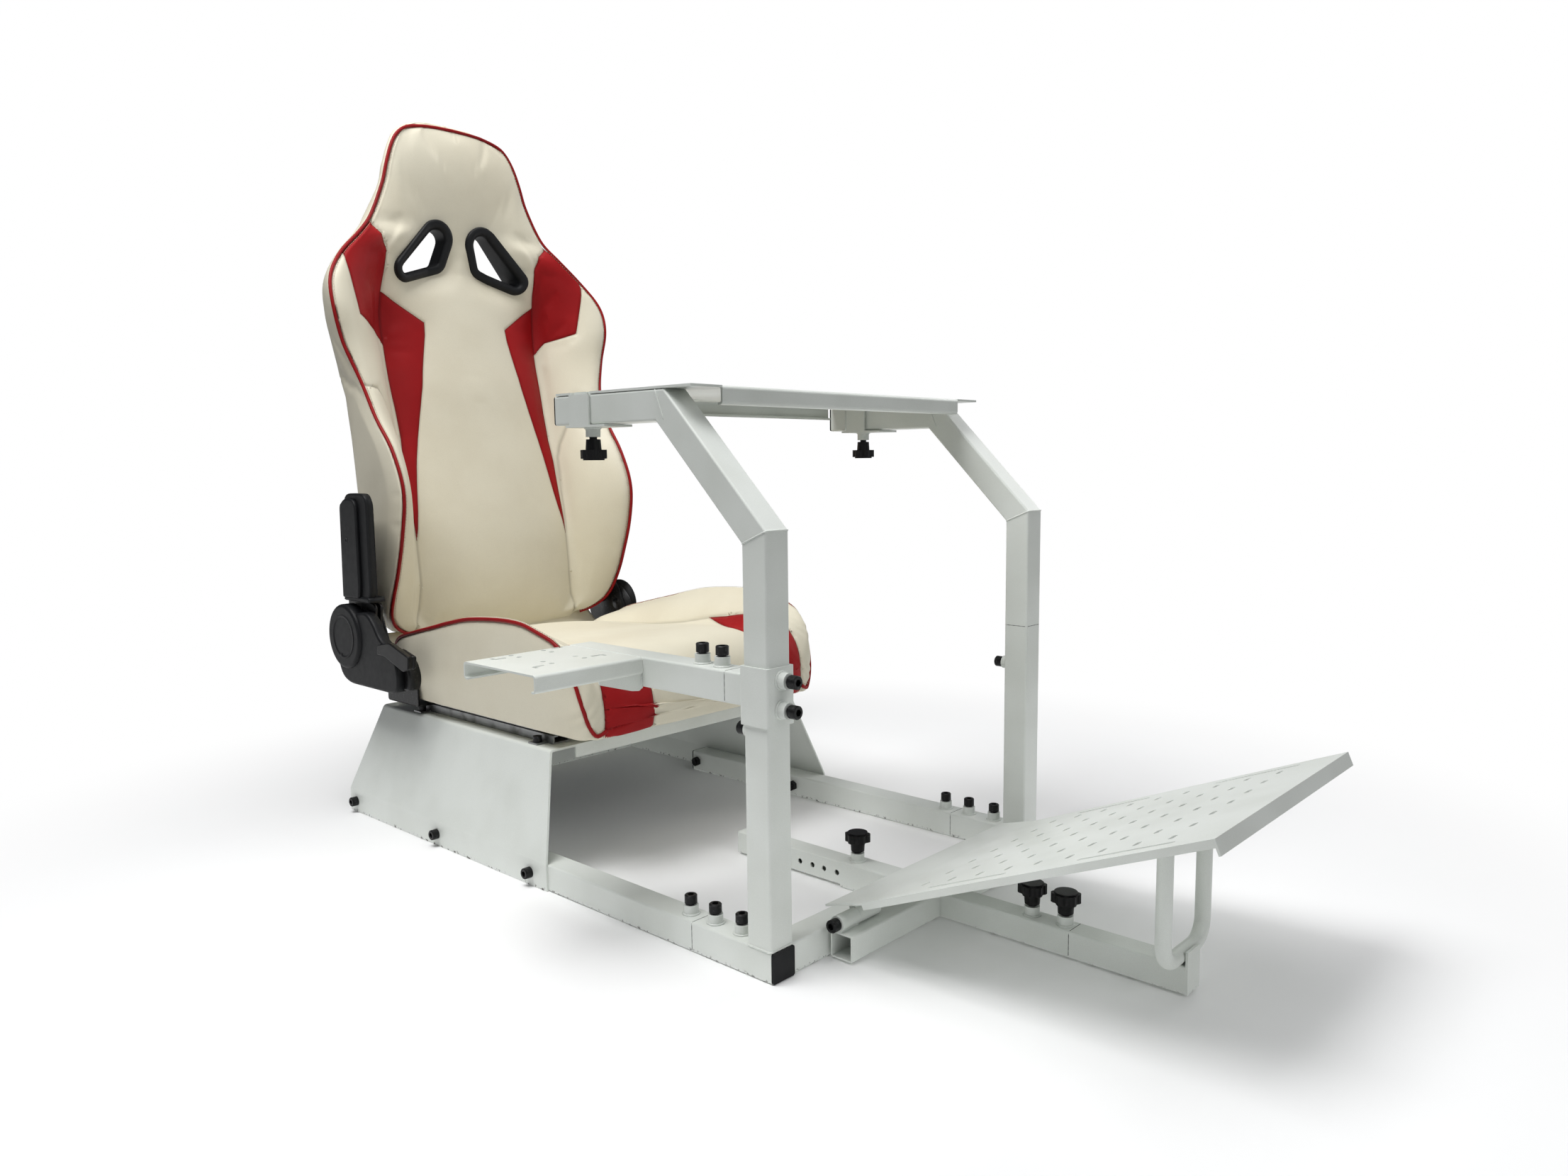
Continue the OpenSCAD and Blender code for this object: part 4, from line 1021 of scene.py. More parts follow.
@dataclass
class Backrest(Upholstery):
    """Winged backrest with sewn panels, piping and two harness holes.

    A hole's outline is the hull of three circles, each given by X, Z and radius. The
    front, the rear seam and the back are told apart by the outline's control numbers.
    """

    spacing: float = 9.4
    hole_corners: tuple = ((118, 958, 7), (48, 1021, 17), (52, 984, 10))
    hole_middle: tuple[float, float] = (0.078, 0.988)
    hole_wall: float = 12.3
    hole_steps: int = 96
    lip_lean: float = 10.7
    valley_x: float = 163.0
    middle_control: float = 6.0
    front_control: float = 6.9
    rear_control: float = 8.85
    back_control: float = 9.4
    seam_names: tuple[str, ...] = ("bolster", "waist", "blade", "shoulder", "pipe", "rear")
    rear_arcs: np.ndarray = field(init=False)

    def stations(self) -> np.ndarray:
        """Height, half-width, then places along Y: middle, valley, crest and back."""
        return np.array([
            [284, 178, 982, 984, 986, 1000], [298, 188, 970, 974, 975, 1012],
            [306, 212, 962, 970, 962, 1018],
            [322, 234, 956, 969, 946, 1030], [345, 248, 952, 966, 932, 1036],
            [385, 252, 949, 963, 911, 1041], [420, 252, 950, 965, 896, 1044],
            [488, 253, 960, 974, 874, 1048], [558, 252, 977, 992, 867, 1054],
            [626, 252, 992, 1008, 896, 1068], [682, 254, 1002, 1022, 938, 1086],
            [742, 258, 1011, 1038, 966, 1102], [809, 276, 1026, 1054, 981, 1114],
            [870, 290, 1038, 1062, 983, 1120], [920, 287, 1049, 1056, 996, 1118],
            [967, 257, 1059, 1042, 1016, 1112], [1010, 214, 1062, 1036, 1030, 1108],
            [1045, 184, 1057, 1048, 1045, 1110], [1105, 156, 1049, 1051, 1052, 1114],
            [1140, 146, 1047, 1051, 1054, 1114], [1175, 134, 1048, 1052, 1056, 1110],
            [1203, 119, 1052, 1056, 1060, 1104], [1218, 102, 1057, 1061, 1066, 1100],
            [1228, 82, 1064, 1068, 1072, 1096], [1234, 58, 1078, 1080, 1082, 1094]], float)

    def half_ring(self, station: np.ndarray) -> np.ndarray:
        """Half outline at one height, from the middle of the front to that of the back."""
        z, w, y, low, high, rear = station
        x0, x1 = min(self.valley_x, 0.66 * w), w - 8
        side = max(self.flank_y(z), high + 20) - 4
        return np.array([
            [0, y, z], [0.6 * x0, y + 0.36 * (low - y), z], [0.93 * x0, low - 1, z],
            [x0 + 0.12 * (x1 - x0), low - 0.06 * (low - high), z],
            [x0 + 0.44 * (x1 - x0), low - 0.56 * (low - high), z],
            [x0 + 0.8 * (x1 - x0), low - 0.95 * (low - high), z], [x1, high, z],
            [w, high + 14, z], [0.955 * w, side + 0.085 * w, z],
            [0.80 * w, min(rear - 10, side + 0.36 * w), z], [0.52 * w, rear, z], [0, rear, z]])

    @staticmethod
    def flank_y(z: float) -> float:
        """Furthest place back that the flank reaches at its full width, in millimetres."""
        return float(np.interp(z, [290, 480, 558, 626, 742, 809, 870, 933, 967, 1011, 1045, 1067,
            1105, 1137, 1173, 1214], [998, 1008, 1020, 1031, 1046, 1036, 1028, 1030, 1037, 1060,
            1082, 1080, 1070, 1076, 1073, 1080]))

    def bolster_seam(self) -> np.ndarray:
        """Seam at the foot of each bolster, as X and Z in metres."""
        return np.array([
            [186, 1036], [183, 1030], [166, 1014], [157, 981], [159, 947], [162, 913],
            [164, 882], [164, 851], [163, 820], [163, 757], [162, 726], [161, 707], [160, 650],
            [163, 607], [163, 545], [163, 471], [163, 385], [167, 342], [172, 317], [176, 300]
        ]) * MM

    def blade(self) -> np.ndarray:
        """Outline of the red blade beside the middle panel, as X and Z in metres."""
        return np.array([
            [156, 909], [87, 864], [89, 841], [94, 818], [99, 795], [104, 772], [108, 749],
            [113, 727], [122, 689], [131, 651], [139, 613], [145, 575], [153, 520], [163, 463],
            [163, 545], [163, 607], [160, 650], [161, 707], [162, 726], [163, 757], [163, 820],
            [164, 851], [164, 882], [162, 913]]) * MM

    def shoulder(self) -> np.ndarray:
        """Outline of the red shoulder, as X and Z in metres."""
        return np.array([
            [186, 1036], [183, 1030], [166, 1014], [157, 981], [159, 947], [162, 913],
            [164, 882], [164, 851], [163, 820], [181, 845], [228, 864], [238, 907], [247, 945],
            [252, 966], [262, 985], [230, 1040]]) * MM

    def waist_seam(self) -> np.ndarray:
        """Seam between the upper and lower bolster panels, as X and Z in metres."""
        return np.array([
            [262, 741], [250, 739], [232, 738], [216, 736], [204, 722], [193, 698], [183, 668],
            [174, 640], [169, 615], [167, 565], [165, 504], [163, 463]]) * MM

    def pipe_control(self, z: float) -> float:
        """Control number of the outline where the piping runs, at a height in metres."""
        return float(np.interp(z / MM, [300, 322, 345, 560, 640, 742, 809, 904, 1190, 1203, 1214,
            1219, 1223, 1226.5], [6.1, 6.25, 6.1, 6.0, 6.1, 6.5, 6.7, 6.5, 6.4, 6.2, 5.8, 4.8,
            2.3, 0.0]))

    def hole_outline(self, margin: float) -> np.ndarray:
        """Outline of the left harness hole in X and Z, widened by a margin, in metres."""
        turn = np.linspace(0, 2 * math.pi, 48, endpoint=False)
        cloud = np.concatenate([np.stack([x + (r + margin) * np.cos(turn),
            z + (r + margin) * np.sin(turn)], 1) for x, z, r in self.hole_corners])
        order = cloud[np.lexsort((cloud[:, 1], cloud[:, 0]))]
        chains = []
        for points in (order, order[::-1]):
            chain: list[np.ndarray] = []
            for p in points:
                while len(chain) > 1:
                    way, rest = chain[-1] - chain[-2], p - chain[-2]
                    if way[0] * rest[1] - way[1] * rest[0] > 1e-9:
                        break
                    chain.pop()
                chain.append(p)
            chains.append(np.array(chain[:-1]))
        return np.concatenate(chains) * MM

    def lip_y(self, z: np.ndarray) -> np.ndarray:
        """Place along Y of the harness liners' leaning front face, at heights in metres."""
        return 1070 * MM - (z - 950 * MM) * math.tan(math.radians(self.lip_lean))

    @staticmethod
    def lip_swing(x: np.ndarray) -> np.ndarray:
        """How far the liners' outer ends swing forwards, at places across the seat."""
        return np.maximum(np.abs(x) - 64 * MM, 0) * 0.34

    def seams(self, facts: np.ndarray) -> dict[str, np.ndarray]:
        """Signed distance of each point to each seam, large where the seam doesn't run."""
        flat = np.stack([np.abs(facts[..., 0]), facts[..., 2]], -1).reshape(-1, 2)
        front = (facts[..., CONTROL] < self.front_control).reshape(-1)
        arcs, heights = facts[..., ARC].reshape(-1), facts[..., 2].reshape(-1)
        found = {}
        for name, line in (("bolster", self.bolster_seam()), ("waist", self.waist_seam())):
            found[name] = np.where(front, polyline_distance(flat, line)[1], 1.0)
        for name, loop in (("blade", self.blade()), ("shoulder", self.shoulder())):
            found[name] = np.where(front, region_distance(flat, loop), 1.0)
        found["pipe"] = arcs - np.interp(heights, self.levels, self.pipe_arcs)
        found["rear"] = arcs - np.interp(heights, self.levels, self.rear_arcs)
        return {name: value.reshape(facts.shape[:-1]) for name, value in found.items()}

    def pins(self, facts: np.ndarray) -> np.ndarray:
        """How far each point of the coarse form is sewn down, from 0 to 1."""
        self.pipe_arcs = self.arcs_of(facts, self.pipe_control)
        self.rear_arcs = self.arcs_of(facts, lambda z: self.rear_control)
        hold = np.zeros(facts.shape[:2])
        for name, away in self.seams(facts).items():
            wide = 7 * MM if name in ("blade", "waist") else 10 * MM
            hold = np.maximum(hold, np.exp(-((np.abs(away) / wide) ** 2)))
        flat = np.stack([np.abs(facts[..., 0]), facts[..., 2]], -1).reshape(-1, 2)
        ring = region_distance(flat, self.hole_outline(self.hole_wall)).reshape(hold.shape)
        hold = np.maximum(hold, np.clip(1.4 - ring / (14 * MM), 0, 1))
        hold[:CAP_RINGS + 1] = 1
        hold[-CAP_RINGS:] = 1
        back = facts[..., CONTROL] > self.back_control
        return np.where(back, np.maximum(hold, 0.6), hold)

    def build(self) -> None:
        """Builds the leather with its holes, the piping, the thread and the liners."""
        shell = shell_of(self)
        hide = shell.hide
        self.split(hide, self.seam_names)
        outline = self.hole_outline(self.hole_wall)

        def hole(facts: np.ndarray) -> np.ndarray:
            """Distance to the harness holes' outlines, negative inside."""
            return region_distance(np.stack([np.abs(facts[:, 0]), facts[:, 2]], 1), outline)

        hide.cut(hole(hide.facts), 30 * MM)
        hide.drop(hole(hide.middles()) < 0)
        away = self.seams(hide.facts)
        edge = hole(hide.facts)
        normals = hide.turn_out()
        sink = self.grooves(away, (
            ("bolster", 2.6, 3.2, 2.5), ("waist", 1.9, 2.6, 1.2), ("blade", 1.6, 2.4, 1.0),
            ("shoulder", 1.5, 2.4, 0.8), ("pipe", 2.2, 5.0, 0.8), ("rear", 2.2, 3.0, 1.5)))
        sink += self.puckers(hide, away)
        hide.points -= normals * sink[:, None]
        front = hide.facts[:, CONTROL] < self.middle_control
        ring = self.lip_y(hide.facts[:, 2]) - self.lip_swing(hide.facts[:, 0])
        want = ring + 2.5 * MM - hide.points[:, 1]
        dip = np.where(front, np.maximum(want, 0) * np.exp(-((edge / (24 * MM)) ** 2)), 0)
        hide.points[:, 1] += dip
        crease = self.creases(away)
        for loop in hide.rim():
            self.tuck(hide, loop)
        crease = np.concatenate([crease, np.zeros(len(hide.points) - len(crease))])
        sides = self.seams(hide.middles())
        red = ((sides["blade"] < 0) | (sides["shoulder"] < 0)) & (sides["pipe"] < 0)
        made = self.cover("backrest_cover", hide, red, crease)
        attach(made, "seat_back")
        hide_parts("backrest")
        self.trim(shell)
        self.liners()

    def puckers(self, hide: Hide, away: dict[str, np.ndarray]) -> np.ndarray:
        """Small wrinkles that run off the curved seams of the bolsters."""
        x, z = hide.facts[:, 0], hide.facts[:, 2]
        waver = np.sin(z * 410 + 2.1 * np.sin(z * 95 + x * 31)) * np.sin(z * 57 + 1.3)
        reach = np.exp(-((np.abs(away["pipe"]) / (16 * MM)) ** 2))
        return 0.45 * MM * waver * reach * np.clip((z - 0.32) / 0.05, 0, 1)

    def tuck(self, hide: Hide, loop: np.ndarray) -> None:
        """Folds the leather's cut edge in round a harness hole."""
        way = 1.0 if hide.facts[loop, CONTROL].mean() < self.middle_control else -1.0
        row = loop
        for _ in range(2):
            start = len(hide.points)
            hide.points = np.concatenate([hide.points,
                hide.points[row] + np.array([0, way * 5 * MM, 0])])
            hide.facts = np.concatenate([hide.facts, hide.facts[row]])
            fresh = start + np.arange(len(row))
            a, b = row, np.roll(row, -1)
            c, d = np.roll(fresh, -1), fresh
            hide.faces = np.concatenate([hide.faces, np.stack([b, a, d], 1),
                np.stack([b, d, c], 1)])
            row = fresh

    def trim(self, shell: SeatShell) -> None:
        """Adds the piping and the thread beside it."""
        heights = np.concatenate([np.linspace(301, 1186, 210), np.linspace(1190, 1226.3, 26)]) * MM
        pipe, inner = [], []
        for z in heights:
            arc = shell.arc_of_control(z, self.pipe_control(z))
            pipe.append(shell.point(z, arc, Side.LEFT, self.pipe_lift))
            inner.append(shell.point(z, max(arc - self.thread_gap, 0), Side.LEFT,
                self.thread_lift))
        line = np.array(pipe)
        other = line[::-1] * np.array([-1.0, 1, 1])
        tube = Sweep(10)
        whole = evened(np.concatenate([line, other]), self.pipe_step, 4)
        tube.add(take(whole, even_steps(whole, self.pipe_step)), self.pipe_r)
        made = tube.build("backrest_piping", self.finishes.piping)
        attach(made, "seat_back")
        thread = Sweep(5)
        for side in Side:
            sew(thread, np.array(inner) * np.array([side.value, 1, 1]))
        made = thread.build("backrest_thread", self.finishes.pale_thread)
        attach(made, "seat_back")

    def liners(self) -> None:
        """Adds the plastic liners of the harness holes, each with a rolled lip."""
        points, faces = [], []
        profile = np.array([
            [15.4, 9.0], [17.0, 3.5], [16.8, 0.4], [14.6, -2.4], [10.6, -3.8], [6.2, -3.6],
            [2.4, -1.6], [0.4, 1.8], [0.0, 6.0], [0.4, 22.0], [0.8, 36.0]]) * MM
        profile = catmull(profile, 3)
        count, swing_depth = self.hole_steps, 30 * MM
        wanted = np.linspace(-math.pi, math.pi, count + 1)[:-1]
        for side in Side:
            rings = []
            for margin, depth in profile:
                loop = self.hole_outline(margin / MM)
                angle = np.arctan2(loop[:, 1] - self.hole_middle[1],
                    loop[:, 0] - self.hole_middle[0])
                loop, turn = loop[np.argsort(angle)], np.sort(angle)
                x = np.interp(wanted, turn, loop[:, 0], period=2 * math.pi)
                z = np.interp(wanted, turn, loop[:, 1], period=2 * math.pi)
                y = self.lip_y(z) - self.lip_swing(x) * max(0.0, 1 - depth / swing_depth) + depth
                rings.append(np.stack([x * side.value, y, z], 1))
            base = sum(len(p) for p in points)
            number = base + np.arange(len(rings) * count).reshape(len(rings), count)
            a, b = number[:-1], np.roll(number[:-1], -1, 1)
            d, c = number[1:], np.roll(number[1:], -1, 1)
            order = (a, d, c, b) if side is Side.LEFT else (a, b, c, d)
            faces += [tuple(f) for f in np.stack(order, -1).reshape(-1, 4).tolist()]
            points.append(np.concatenate(rings))
        made = mesh_object("harness_liners", np.concatenate(points), faces,
            [self.finishes.plastic])
        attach(made, "seat_back")
        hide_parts("harness_rings")
        log.info("harness_liners: %d faces", len(faces))


def sew(thread: Sweep, line: np.ndarray, pitch: float = 5.2 * MM, length: float = 3.7 * MM,
        radius: float = 0.42 * MM) -> None:
    """Lays a row of stitches along a line.

    Args:
        thread: Mesh that takes the stitches.
        line: Line on the leather.
        pitch: Distance between stitches.
        length: Length of one stitch.
        radius: Radius of the thread.
    """
    places = even_steps(line, pitch)
    walk = np.concatenate([[0], np.cumsum(np.linalg.norm(np.diff(line, axis=0), axis=1))])
    share = length / pitch
    for a, b in zip(places[:-1], places[1:]):
        spots = np.interp(np.array([a, a + (b - a) * share * 0.5, a + (b - a) * share]),
            np.arange(len(line)), walk)
        row = np.interp(spots, walk, np.arange(len(line)))
        thread.add(take(line, row), np.array([0.5, 1.0, 0.5]) * radius)


@dataclass
class Cushion(Upholstery):
    """Seat cushion with raised bolsters, red wedges at its front and piping.

    The top and the underside are told apart by the outline's control numbers.
    """

    axis: int = 1
    measured: tuple[float, float, int] = (382.0, 936.0, 240)
    spacing: float = 8.6
    cap: float = 4.0 * MM
    half_w: float = 264.0
    low_z: float = 209.0
    top_control: float = 4.6
    under_control: float = 7.4
    nose_y: float = 390.0 * MM
    corner: tuple[float, float] = (0.235, 0.395)
    seam_names: tuple[str, ...] = ("valley", "wedge", "pipe")

    def stations(self) -> np.ndarray:
        """Place along Y, share of the half-width, top, rise of the bolsters, underside."""
        return np.array([
            [381, 0.82, 248, 4, 14], [385, 0.88, 268, 8, -1], [394, 0.93, 287, 14, -3],
            [410, 0.96, 303, 22, -3], [430, 0.98, 314, 27, -1], [448, 0.99, 319, 31, 0],
            [482, 1.00, 322, 39, 1], [524, 1.00, 321, 49, 1], [584, 1.00, 317, 54, 1],
            [663, 1.00, 308, 57, 1], [720, 1.00, 304, 50, 1], [766, 1.00, 302, 41, 1],
            [830, 0.99, 300, 28, 1], [892, 0.97, 295, 17, 4], [922, 0.94, 286, 8, 10],
            [937, 0.88, 266, 1, 24]], float)

    def half_ring(self, station: np.ndarray) -> np.ndarray:
        """Half outline across the cushion, from the middle of its top to its underside."""
        y, share, top, rise, drop = station
        w, low = share * self.half_w, self.low_z + drop
        mid = (top + low) / 2
        return np.array([
            [0, y, top + 3], [0.34 * w, y, top + 2], [0.62 * w, y, top - 4],
            [0.76 * w, y, top + 0.40 * rise], [0.90 * w, y, top + 0.80 * rise],
            [w - 5, y, top + 0.96 * rise], [w, y, mid + 8], [w - 4, y, low + 14],
            [w - 16, y, low], [0.5 * w, y, low], [0, y, low]])

    def valley(self) -> np.ndarray:
        """Seam between the middle and the bolster, as X and Y in metres."""
        return np.array([[166, 945], [168, 900], [172, 860], [176, 760], [181, 650], [190, 550],
            [205, 480], [211, 430], [212, 404], [212, 370]]) * MM

    def wedge(self) -> np.ndarray:
        """Outline of the red wedge at the front, as X and Y in metres."""
        return np.array([[187, 592], [190, 550], [205, 480], [211, 430], [212, 404], [212, 360],
            [119, 360], [121, 385], [129, 402], [141, 440], [155, 486], [171, 540]]) * MM

    def pipe_control(self, y: float) -> float:
        """Control number of the outline where the piping runs, at a place in metres."""
        return float(np.interp(y / MM, [381, 385, 388, 392, 396, 402, 410, 430, 448, 937],
            [8.0, 7.6, 6.9, 6.15, 5.85, 5.6, 5.4, 5.1, 5.0, 5.0]))

    def seams(self, facts: np.ndarray) -> dict[str, np.ndarray]:
        """Signed distance of each point to each seam, large where the seam doesn't run."""
        flat = np.stack([np.abs(facts[..., 0]), facts[..., 1]], -1).reshape(-1, 2)
        control, y = facts[..., CONTROL].reshape(-1), facts[..., 1].reshape(-1)
        top = (control < self.top_control) | (y < self.nose_y)
        arcs = facts[..., ARC].reshape(-1)
        found = {
            "valley": np.where(top, polyline_distance(flat, self.valley())[1], 1.0),
            "wedge": np.where(top, region_distance(flat, self.wedge()), 1.0),
            "pipe": arcs - np.interp(y, self.levels, self.pipe_arcs),
        }
        return {name: value.reshape(facts.shape[:-1]) for name, value in found.items()}

    def pins(self, facts: np.ndarray) -> np.ndarray:
        """How far each point of the coarse form is sewn down, from 0 to 1."""
        self.pipe_arcs = self.arcs_of(facts, self.pipe_control)
        hold = np.zeros(facts.shape[:2])
        for away in self.seams(facts).values():
            hold = np.maximum(hold, np.exp(-((np.abs(away) / self.seam_reach) ** 2)))
        return np.where(facts[..., CONTROL] > self.under_control, 1.0, hold)

    def build(self) -> None:
        """Builds the cushion, its piping and its thread."""
        shell = shell_of(self)
        hide = shell.hide
        self.split(hide, self.seam_names)
        away = self.seams(hide.facts)
        normals = hide.turn_out()
        sink = self.grooves(away, (("valley", 2.6, 3.4, 3.0), ("wedge", 1.7, 2.6, 1.2),
            ("pipe", 2.2, 5.0, 0.8)))
        sink += self.gathers(hide, away)
        hide.points -= normals * sink[:, None]
        red = self.seams(hide.middles())["wedge"] < 0
        made = self.cover("cushion_cover", hide, red, self.creases(away))
        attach(made, "seat")
        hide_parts("seat_cushion")
        self.trim(shell)

    def gathers(self, hide: Hide, away: dict[str, np.ndarray]) -> np.ndarray:
        """Wrinkles of the leather pulled round the front corners and along the piping."""
        x, y, z = np.abs(hide.facts[:, 0]), hide.facts[:, 1], hide.facts[:, 2]
        corner = np.exp(-(((x - self.corner[0]) / 0.035) ** 2
            + ((y - self.corner[1]) / 0.03) ** 2))
        folds = np.sin(x * 330 + z * 210 + 1.8 * np.sin(z * 90 + x * 40))
        waver = np.sin(y * 400 + 2.0 * np.sin(y * 90 + x * 30)) * np.sin(y * 61 + 0.7)
        reach = np.exp(-((np.abs(away["pipe"]) / (16 * MM)) ** 2))
        return 0.8 * MM * corner * folds + 0.45 * MM * waver * reach

    def trim(self, shell: SeatShell) -> None:
        """Adds the piping and the thread beside it."""
        piping, thread = Sweep(10), Sweep(5)
        places = np.concatenate([np.linspace(382, 400, 26), np.linspace(402, 934, 130)]) * MM
        for side in Side:
            pipe, inner = [], []
            for y in places:
                arc = shell.arc_of_control(y, self.pipe_control(y))
                pipe.append(shell.point(y, arc, side, self.pipe_lift))
                inner.append(shell.point(y, arc - self.thread_gap, side, self.thread_lift))
            line = np.array(pipe)
            piping.add(take(line, even_steps(line, self.pipe_step)), self.pipe_r)
            sew(thread, np.array(inner))
        for sweep, name, finish in ((piping, "cushion_piping", self.finishes.piping),
                (thread, "cushion_thread", self.finishes.pale_thread)):
            made = sweep.build(name, finish)
            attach(made, "seat")


def rounded(corners: np.ndarray, radii: list[float]) -> np.ndarray:
    """Rounds the corners of a closed outline.

    Args:
        corners: The corners in millimetres, one a row.
        radii: How far each corner is cut back along its edges.

    Returns:
        The outline in millimetres, as points at even steps.
    """
    corners = np.asarray(corners, float)
    steps = np.linspace(0, 1, 7)[1:-1, None]
    line = []
    for i, corner in enumerate(corners):
        ends = []
        for other in (corners[i - 1], corners[(i + 1) % len(corners)]):
            reach = float(np.linalg.norm(other - corner))
            ends.append(corner + (other - corner) / reach * min(radii[i], 0.48 * reach))
        first, last = ends
        curve = ((1 - steps) ** 2 * first + 2 * (1 - steps) * steps * corner
            + steps ** 2 * last)
        line += [first, *curve, last]
    line = np.array(line + line[:1])
    return take(line, even_steps(line, 3.0))[:-1]


class Moulding:
    """Plates and covers with rounded edges, gathered into one mesh.

    A plate stands across one axis: 0 is across the seat, 2 is upright.
    """

    def __init__(self) -> None:
        """Starts with no plates."""
        self.points: list[np.ndarray] = []
        self.faces: list[tuple] = []
        self.count = 0

    def add(self, outline: np.ndarray, inner: float, outer: float, edge: float,
            axis: int = 0, dish: float = 0.0) -> None:
        """Adds a plate.

        Args:
            outline: Points of its outline, in millimetres.
            inner: Place of its hidden face along the axis.
            outer: Place of its seen face along the axis.
            edge: Radius of the seen face's edge.
            axis: Axis that the plate stands across.
            dish: How far the middle of the seen face is sunk.
        """
        ahead, behind = np.roll(outline, -1, 0), np.roll(outline, 1, 0)
        way = ahead - behind
        way /= np.linalg.norm(way, axis=1, keepdims=True)
        area = np.sum(outline[:, 0] * ahead[:, 1] - ahead[:, 0] * outline[:, 1])
        inward = np.stack([-way[:, 1], way[:, 0]], 1) * (1 if area > 0 else -1)
        sense = 1 if outer > inner else -1
        turns = np.radians(np.linspace(0, 90, 6))
        layers = [(inner, 0.0)] + [
            (outer - sense * edge * (1 - math.sin(a)), edge * (1 - math.cos(a))) for a in turns]
        layers.append((outer, edge + 0.5))
        if dish:
            layers += [(outer, edge + 3.0), (outer - sense * dish, edge + 3.0 + dish)]
        rings = []
        for place, inset in layers:
            flat = outline + inward * inset
            ring = np.insert(flat, axis, place, axis=1)
            rings.append(ring * MM)
        n, base = len(outline), self.count
        flip = (area > 0) == (sense > 0)
        if axis == 2:
            flip = not flip
        for k in range(len(rings) - 1):
            a = base + k * n + np.arange(n)
            b = np.roll(a, -1)
            quads = np.stack([a, b, b + n, a + n] if flip else [b, a, a + n, b + n], 1)
            self.faces += [tuple(q) for q in quads.tolist()]
        first = tuple(range(base, base + n))
        last = tuple(range(base + (len(rings) - 1) * n, base + len(rings) * n))
        self.faces += [first[::-1] if flip else first, last if flip else last[::-1]]
        self.points += rings
        self.count += n * len(rings)

    def disc(self, centre: tuple[float, float], radius: float, inner: float, outer: float,
            edge: float, dish: float = 0.0) -> None:
        """Adds a round plate across the seat."""
        angle = np.linspace(0, 2 * math.pi, 73)[:-1]
        outline = np.stack([centre[0] + radius * np.cos(angle),
            centre[1] + radius * np.sin(angle)], 1)
        self.add(outline, inner, outer, edge, 0, dish)

    def build(self, name: str, finish: bpy.types.Material) -> bpy.types.Object:
        """Makes the gathered plates into one object."""
        log.info("%s: %d faces", name, len(self.faces))
        return mesh_object(name, np.concatenate(self.points), self.faces, [finish])


